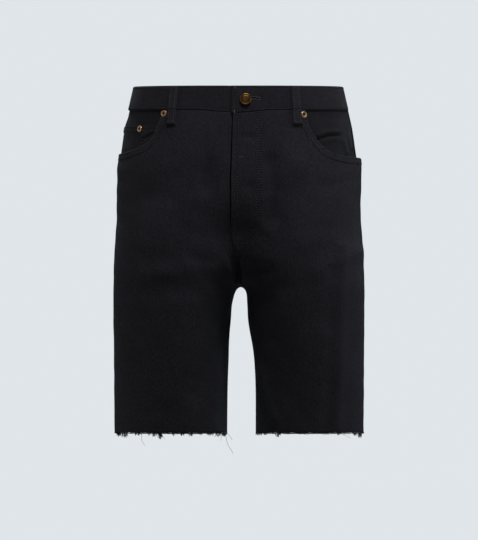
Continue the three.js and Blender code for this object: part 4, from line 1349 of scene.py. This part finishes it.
def shade_rise():
    """Painted shade: a dark strip beside the fly's edge, and dark strips down the deep seam from its foot to the
    crotch.
    """
    shade = Sewing("painted_groove_shade_rise", GROOVE_SHADE._replace(width=2.4), GROOVE_SHADE_FINISH, seed=26)
    z = np.linspace(-24, -200, 120)
    phi = phi_at_x(RIGHT, np.interp(-z, (24, 118, 200), (8.8, 12.4, 11.0)), z)
    shade.row(Seat(RIGHT, phi, WAIST_TOP - z), panel_top(RIGHT, phi, WAIST_TOP - z))
    made = [shade.finished()]
    crotch_shade = Sewing("shade_crotch_seam", GROOVE_SHADE._replace(width=2.6), CROTCH_SHADE_FINISH, seed=27)
    z = np.linspace(-232, -281, 56)
    spread = np.interp(-z, (232, 250, 281), (0.1, 1.8, 3.8))
    for side, across in ((RIGHT, 1.9), (RIGHT, 1.4), (RIGHT, 0.85), (RIGHT, 0.3), (LEFT, 0.3), (LEFT, 0.9)):
        phi = phi_at_x(side, across * spread + 0.3, z)
        crotch_shade.row(Seat(side, phi, WAIST_TOP - z), panel_top(side, phi, WAIST_TOP - z) + 0.1)
    return made + [crotch_shade.finished()]


def sew_grey_bartacks():
    """The pale bars that show at the waistband's end."""
    tacks = Sewing("bartacks_grey", BARTACK._replace(length=2.3, width=0.5), TACK_FINISH, seed=22)
    end = BAND_END - BAND_END_ROW * MM
    for first, last in ((0.9, 4.2), (35.6, 39.2)):
        depth = np.linspace(first, last, 8)
        tacks.row(band_seat(np.full(8, end), depth), np.full(8, BAND.face + BAND_LIFT))
    return tacks.finished()


def sew_fly_bartack():
    """The dim bar across the fly."""
    tacks = Sewing("bartack_fly", BARTACK._replace(length=1.9, width=0.45), DULL_TACK_FINISH, seed=24)
    x, z = np.linspace(0.4, 6.6, 8), np.full(8, -85.2)
    phi = phi_at_x(LEFT, x, z)
    tacks.row(Seat(LEFT, phi, WAIST_TOP - z), panel_top(LEFT, phi, WAIST_TOP - z))
    return tacks.finished()


def sew_buttonhole():
    """Satin stitches round the slit, with a bar at its far end."""
    slit = hole_row()
    sewing = Sewing("buttonhole_satin", SATIN, SATIN_FINISH, seed=23)
    upper, lower = beside(slit, HOLE_HALF), beside(slit, -HOLE_HALF)[::-1]
    turn = lambda a, b: np.stack([a, 0.5 * (a + b)], 0)
    loop = np.concatenate([upper, 0.5 * (upper[-1:] + lower[:1]) + (0.8 * MM, 0), lower])
    q, depth = chain(loop).T
    sewing.row(band_seat(q, depth), np.full(len(q), BAND.face + BAND_LIFT - 0.1))
    # Painted shade: a dark strip along the slit stands in for the shade inside it
    dark = Sewing("buttonhole_slit_painted_shade", GROOVE_SHADE._replace(width=1.5, height=0.5), GROOVE_SHADE_FINISH, seed=25)
    q, depth = slit.T
    dark.row(band_seat(q, depth), np.full(len(q), BAND.face + BAND_LIFT - 0.1))
    return sewing.finished(), dark.finished()


# Raw hems
Tuft = namedtuple("Tuft", "x spread drop count")
TUFTS = {
    RIGHT: [Tuft(-173, 8, 7, 22), Tuft(-165, 9, 8.5, 24), Tuft(-145, 11, 5.5, 18), Tuft(-129, 3, 5, 6),
            Tuft(-122, 5, 7, 14), Tuft(-114, 6, 10.5, 26), Tuft(-95, 4, 6, 9), Tuft(-82, 6, 6, 12),
            Tuft(-70, 7, 6.5, 16), Tuft(-55, 8, 4, 12), Tuft(-44, 8, 4, 12), Tuft(-30, 7, 7.5, 18),
            Tuft(-22, 6, 8, 16)],
    LEFT: [Tuft(28, 6, 5.5, 12), Tuft(38, 7, 5, 14), Tuft(56, 8, 7, 18), Tuft(92, 14, 2.2, 10),
           Tuft(124, 12, 2.2, 10), Tuft(168, 5, 6, 12), Tuft(175, 6, 9, 20)],
}
# Pale weft threads that hang down: x, sideways reach, drop, curl, thickness
PaleThread = namedtuple("PaleThread", "x reach drop curl thickness")
PALE_THREADS = {
    RIGHT: [PaleThread(-140.5, 3, 18.5, 1.6, 1.0), PaleThread(-21, 11, 31, 1.2, 1.0),
            PaleThread(-18, 8, 11.5, 0.8, 0.9), PaleThread(-176, 9, 5.5, 2.2, 0.9),
            PaleThread(-163, -4, 7, 1.4, 0.8), PaleThread(-112, 5, 9.5, 1.0, 0.8),
            PaleThread(-25, -3, 12, 1.2, 0.9), PaleThread(-71, 3, 6, 0.8, 0.7)],
    LEFT: [PaleThread(148, 12, 8, 0.9, 0.7), PaleThread(57, 2, 7.5, 0.8, 0.8), PaleThread(36, -4, 5, 0.8, 0.7),
           PaleThread(170, 5, 7.5, 1.0, 0.8)],
}
FUZZ_STEP, FUZZ_DROP = 1.15, (0.9, 2.4)
WEFT_LOOPS, WEFT_DROP = 4, (0.2, 1.7)
THREAD_RADIUS = 0.3
BACK_TUFTS = 9


def hem_root(side, phi, lift=0.0):
    """Where a thread leaves the raw edge."""
    return Seat(side, phi, np.full_like(phi, SIDE_LENGTH)).at(np.full_like(phi, lift))


def hanging(root, lean, drop, curl, draw, steps):
    """A thread's points: out of the cloth, then down, swaying a little."""
    t = np.linspace(0, 1, steps)
    sway = curl * np.sin(t * draw.uniform(3, 8) + draw.uniform(0, 6)) * t
    x = root[0] + lean * t**1.5 + sway
    y = root[1] + 0.5 * curl * np.sin(t * draw.uniform(3, 7) + draw.uniform(0, 6)) * t
    z = lerp(HEM + 0.8, HEM - drop, t)
    return np.stack([x, y, z], -1)


def hem_fringe(side, hand):
    """Black warp ends: fuzz all round, thicker tufts where they show, and loosened weft along the edge."""
    draw = np.random.default_rng(31 + side)
    chains = Chains()

    def strand(phi, lean, drop, curl, weight=1.0):
        steps = 4 if drop < 3 else 7
        root = hem_root(side, np.array([phi]), draw.uniform(-0.5, 0.5))[0]
        points = hanging(root, lean, drop, curl, draw, steps)
        chains.add(points, weight * np.linspace(1.1, 0.55, steps))

    for phi in np.arange(-0.996, 0.996, FUZZ_STEP / 300):
        strand(phi, draw.normal(0, 0.7), draw.uniform(*FUZZ_DROP), 0.3)
    for tuft in TUFTS[side]:
        x = tuft.x + tuft.spread * (draw.random(tuft.count) - 0.5)
        for phi, at in zip(phi_at_x_hem(side, x), x):
            short = 1 - 0.5 * abs(at - tuft.x) / tuft.spread - 0.45 * draw.random()
            strand(phi, draw.normal(0, 0.16) * tuft.drop, tuft.drop * short, 0.6, draw.uniform(1.2, 2.2))
    for middle in np.linspace(-0.93, -0.07, BACK_TUFTS) + draw.normal(0, 0.015, BACK_TUFTS):
        drop = draw.uniform(3.5, 7.5)
        for _ in range(draw.integers(6, 14)):
            strand(middle + draw.normal(0, 0.012), draw.normal(0, 1.2), drop * draw.uniform(0.4, 1), 0.5, 1.4)
    for level in np.linspace(*WEFT_DROP, WEFT_LOOPS):
        phi = np.linspace(-0.997, 0.997, 260)
        wave = 0.35 * np.sin(phi * 60 + level * 9) + 0.25 * np.sin(phi * 131 + level * 5)
        points = hem_root(side, phi, 0.35 * math.sin(level * 7))
        points[:, 2] = HEM - level + wave
        chains.add(points, np.full(260, 1.1))
    piece = made_by(THREAD_RECIPE, chains.piece("taper", "FLOAT", "value"), f"raw_hem_{hand}", {
        "Radius": THREAD_RADIUS * 0.001, "Sides": 4, "Finish": FRINGE_FINISH})
    return settle(piece, "threads", f"hem_fray_{hand}")


def phi_at_x_hem(side, x):
    root = lambda phi: side * hem_root(side, phi)[:, 0] < side * x
    return bisect(root, np.full_like(x, 0.12), np.full_like(x, 0.985))


def pale_threads(side, hand):
    draw = np.random.default_rng(47 + side)
    chains = Chains()
    xs = np.array([thread.x for thread in PALE_THREADS[side]], float)
    for thread, phi in zip(PALE_THREADS[side], phi_at_x_hem(side, xs)):
        root = hem_root(side, np.array([phi]), 0.7)[0]
        steps = max(8, int(thread.drop * 1.2))
        chains.add(hanging(root, thread.reach, thread.drop, thread.curl, draw, steps),
                   thread.thickness * np.linspace(1, 0.8, steps))
    for _ in range(26):
        root = hem_root(side, np.array([draw.uniform(-0.97, 0.97)]), draw.uniform(-0.4, 0.6))[0]
        chains.add(hanging(root, draw.normal(0, 2), draw.uniform(1.2, 4), 0.6, draw, 6), np.full(6, 0.6))
    piece = made_by(THREAD_RECIPE, chains.piece("taper", "FLOAT", "value"), f"pale_weft_threads_{hand}", {
        "Radius": 1.05 * THREAD_RADIUS * 0.001, "Sides": 5, "Finish": WEFT_FINISH})
    return settle(piece, "threads")


# Metal: turned profiles of radius and height, with how deep in a recess each ring lies
RIVET_PROFILE = [
    (0, 0.15, 1), (0.7, 0.15, 1), (1.3, 0.2, 1), (1.7, 0.45, 1), (2.0, 0.9, 0.9), (2.35, 1.22, 0.3),
    (2.75, 1.36, 0), (3.4, 1.42, 0), (4.1, 1.25, 0), (4.6, 0.9, 0.1), (4.9, 0.45, 0.3), (4.8, 0.1, 0.6), (4.2, 0, 1),
    (0, 0, 1),
]
BUTTON_PROFILE = [
    (0, 4.75, 0), (1.2, 4.73, 0), (2.4, 4.66, 0), (3.5, 4.54, 0), (4.5, 4.36, 0), (5.2, 4.16, 0.1), (5.65, 3.95, 0.6),
    (6.0, 3.88, 0.9), (6.35, 3.95, 0.6), (6.75, 4.15, 0.1), (7.3, 4.22, 0), (7.8, 4.05, 0), (8.2, 3.6, 0.2),
    (8.4, 2.9, 0.5), (8.3, 2.2, 0.8), (7.9, 1.75, 1), (7.0, 1.6, 1), (3.2, 1.6, 1), (3.2, 0, 1), (0, 0, 1),
]
RIVET_CLEAR = 0.45
KNURL = (3.4, 4.6, 28, 0.05)


def turned(name, profile, at, out, sides, finish, slot, node, knurl=None):
    """A turned piece that stands on the cloth; the knurl is an inner and outer radius, teeth and height."""
    out = out / np.linalg.norm(out)
    right = np.cross((0, 0, 1), out)
    right /= np.linalg.norm(right)
    up = np.cross(out, right)
    points, recess, rings = [], [], []
    for radius, height, depth in profile:
        if radius == 0:
            rings.append([len(points)])
            points.append(at + out * height)
            recess.append(depth)
            continue
        turn = np.arange(sides) * 2 * math.pi / sides
        lift = np.full(sides, height)
        if knurl and knurl[0] <= radius <= knurl[1]:
            lift += knurl[3] * np.cos(turn * knurl[2])
        rings.append(list(range(len(points), len(points) + sides)))
        points += list(at + radius * (np.cos(turn)[:, None] * right + np.sin(turn)[:, None] * up)
                       + lift[:, None] * out)
        recess += [depth] * sides
    faces = []
    for first, second in zip(rings, rings[1:]):
        for k in range(sides):
            n = (k + 1) % sides
            if len(first) == 1:
                faces.append([first[0], second[k], second[n]])
            elif len(second) == 1:
                faces.append([first[k], second[0], first[n]])
            else:
                faces.append([first[k], second[k], second[n], first[n]])
    piece = mesh_object(name, np.array(points), faces, finish)
    point_attribute(piece, "recess", recess)
    return settle(piece, slot, node)


def seat_spot(side, phi, depth, height):
    seat = Seat(side, np.array([float(phi)]), np.array([float(depth)]))
    return seat.at(np.array([height]))[0], seat.out()[0]


def rivets():
    coin_seat = 0.5 * DENIM - GAP - 0.35 + RIVET_CLEAR
    places = {
        "mouth_right": (RIGHT, phi_at_x(RIGHT, 107.6, -22.3), 22.3, 0.5 * DENIM + RIVET_CLEAR),
        "mouth_left": (LEFT, phi_at_x(LEFT, 92.8, -24.0), 24.0, 0.5 * DENIM + RIVET_CLEAR),
        "coin_inner": (RIGHT, phi_at_x(RIGHT, 142.8, -44), 44.0, coin_seat),
        "coin_outer": (RIGHT, 0.085, 44.4, coin_seat),
    }
    for name, (side, phi, below, height) in places.items():
        at, out = seat_spot(side, phi, WAIST_TOP + below, height)
        turned(f"copper_rivet_{name}", RIVET_PROFILE, at, out, 40, COPPER_FINISH, "rivets", f"rivet_{name}")


def jeans_button():
    phi = phi_at_x(LEFT, BUTTON_X, BUTTON_Z)
    at, out = seat_spot(LEFT, phi, WAIST_TOP - BUTTON_Z, BAND.face + GAP)
    turned("jeans_button", BUTTON_PROFILE, at, out, 112, BRASS_FINISH, "button_metal", "button", KNURL)


# The shorts
def make_shorts():
    made = {}
    made["waistband"], band = denim_waistband()
    sew_waistband(band)
    for side, hand in ((RIGHT, "right"), (LEFT, "left")):
        made[f"front_{hand}"], front = denim_front(side, hand)
        made[f"back_{hand}"], back = denim_back(side, hand)
        made[f"yoke_{hand}"], yoke = denim_yoke(side, hand)
        made[f"facing_{hand}"] = pocket_facing(side, hand)
        made[f"back_pocket_{hand}"], pocket = denim_back_pocket(side, hand)
        sew_panel(f"stitches_front_{hand}", side, front, 7 + side, doubled=len(MOUTH_ROWS))
        sew_panel(f"stitches_back_{hand}", side, back + yoke, 14 + side)
        sew_back_pocket(side, hand, pocket, 17 + side)
        made[f"fringe_{hand}"] = hem_fringe(side, hand)
        made[f"pale_{hand}"] = pale_threads(side, hand)
    made["coin"], coin = coin_pocket_cloth()
    sew_coin_pocket(coin)
    for name in LOOP_PLACES:
        made[f"loop_{name}"] = belt_loop(name)
    sew_loops()
    sew_black_bartacks()
    shade_rise()
    sew_grey_bartacks()
    sew_fly_bartack()
    sew_buttonhole()
    rivets()
    jeans_button()
    return made


# A flat size of what shows of a piece, in metres: width, length and area
Cut = namedtuple("Cut", "width length area")


# Camera, stage and light, in metres
FRAME_HEIGHT = 0.783
FRAME_CENTRE = Vector((0.0001, 0, -0.2477))
CAMERA_AWAY = 16.0
SENSOR = 36.0
FLOOR_LEVEL = -0.75
FLOOR_REACH = 3.1
SoftBox = namedtuple("SoftBox", "name at aim size power")
SOFT_BOXES = [
    SoftBox("key_above", (0.16, -0.62, 0.96), (0.02, -0.1, -0.1), (0.7, 0.3), 16.5),
    SoftBox("front_fill", (-0.2, -3.0, 0.3), (0, 0, -0.2), (1.6, 1.6), 3),
    SoftBox("strip_right", (1.5, -0.2, -0.1), (0.1, 0, -0.3), (0.4, 1.4), 8),
    SoftBox("strip_left", (-1.5, -0.1, 0.1), (-0.1, 0, -0.25), (0.4, 1.4), 4.5),
    SoftBox("back_key", (-0.16, 0.74, 0.96), (0, 0.1, -0.1), (0.7, 0.3), 18),
    SoftBox("back_fill", (0.2, 3.0, 0.3), (0, 0, -0.25), (1.6, 1.6), 4),
]


def camera():
    data = bpy.data.cameras.new("camera")
    data.sensor_width = SENSOR
    data.lens = SENSOR * CAMERA_AWAY / FRAME_HEIGHT
    data.clip_start, data.clip_end = 1.0, 60.0
    seen = bpy.data.objects.new("camera", data)
    seen.location = FRAME_CENTRE - Vector((0, CAMERA_AWAY, 0))
    seen.rotation_euler = (math.radians(90), 0, 0)
    bpy.context.collection.objects.link(seen)
    bpy.context.scene.camera = seen


def lights():
    for box in SOFT_BOXES:
        data = bpy.data.lights.new(box.name, "AREA")
        data.shape = "RECTANGLE"
        data.size, data.size_y = box.size
        data.energy = box.power
        light = bpy.data.objects.new(box.name, data)
        light.location = box.at
        light.rotation_euler = (Vector(box.aim) - Vector(box.at)).to_track_quat("-Z", "Y").to_euler()
        light.visible_camera = False
        bpy.context.collection.objects.link(light)


SKY_SEEN = (0.745, 0.785, 0.815, 1)
SKY_LIGHT = (0.97, 0.97, 1.0, 1)
SKY_STRENGTH = 0.08


def sky():
    """Pale studio surroundings: brighter where the camera sees them than as light."""
    world = bpy.data.worlds.new("studio")
    world.use_nodes = True
    tree = world.node_tree
    tree.nodes.clear()
    seen, light = tree.nodes.new("ShaderNodeBackground"), tree.nodes.new("ShaderNodeBackground")
    seen.inputs["Color"].default_value = SKY_SEEN
    light.inputs["Color"].default_value = SKY_LIGHT
    light.inputs["Strength"].default_value = SKY_STRENGTH
    path, mix = tree.nodes.new("ShaderNodeLightPath"), tree.nodes.new("ShaderNodeMixShader")
    tree.links.new(path.outputs["Is Camera Ray"], mix.inputs[0])
    tree.links.new(light.outputs[0], mix.inputs[1])
    tree.links.new(seen.outputs[0], mix.inputs[2])
    tree.links.new(mix.outputs[0], tree.nodes.new("ShaderNodeOutputWorld").inputs["Surface"])
    bpy.context.scene.world = world


def floor():
    reach, level = FLOOR_REACH * 1000, FLOOR_LEVEL * 1000
    paint = Finish("pale_floor")
    cloud = paint.noise(paint.place(), 0.8, 2.0)
    pale = paint.mixed(cloud, (0.44, 0.45, 0.46, 1), (0.46, 0.47, 0.48, 1))
    finish = paint.surface(Base_Color=pale, Roughness=0.9, Specular_IOR_Level=0.1)
    piece = mesh_object("studio_floor", [(-reach, -reach, level), (reach, -reach, level), (reach, reach, level),
                                         (-reach, reach, level)], [[0, 1, 2, 3]], finish, False)


bpy.context.scene.view_settings.view_transform = "Standard"
camera()
lights()
sky()
floor()
make_shorts()
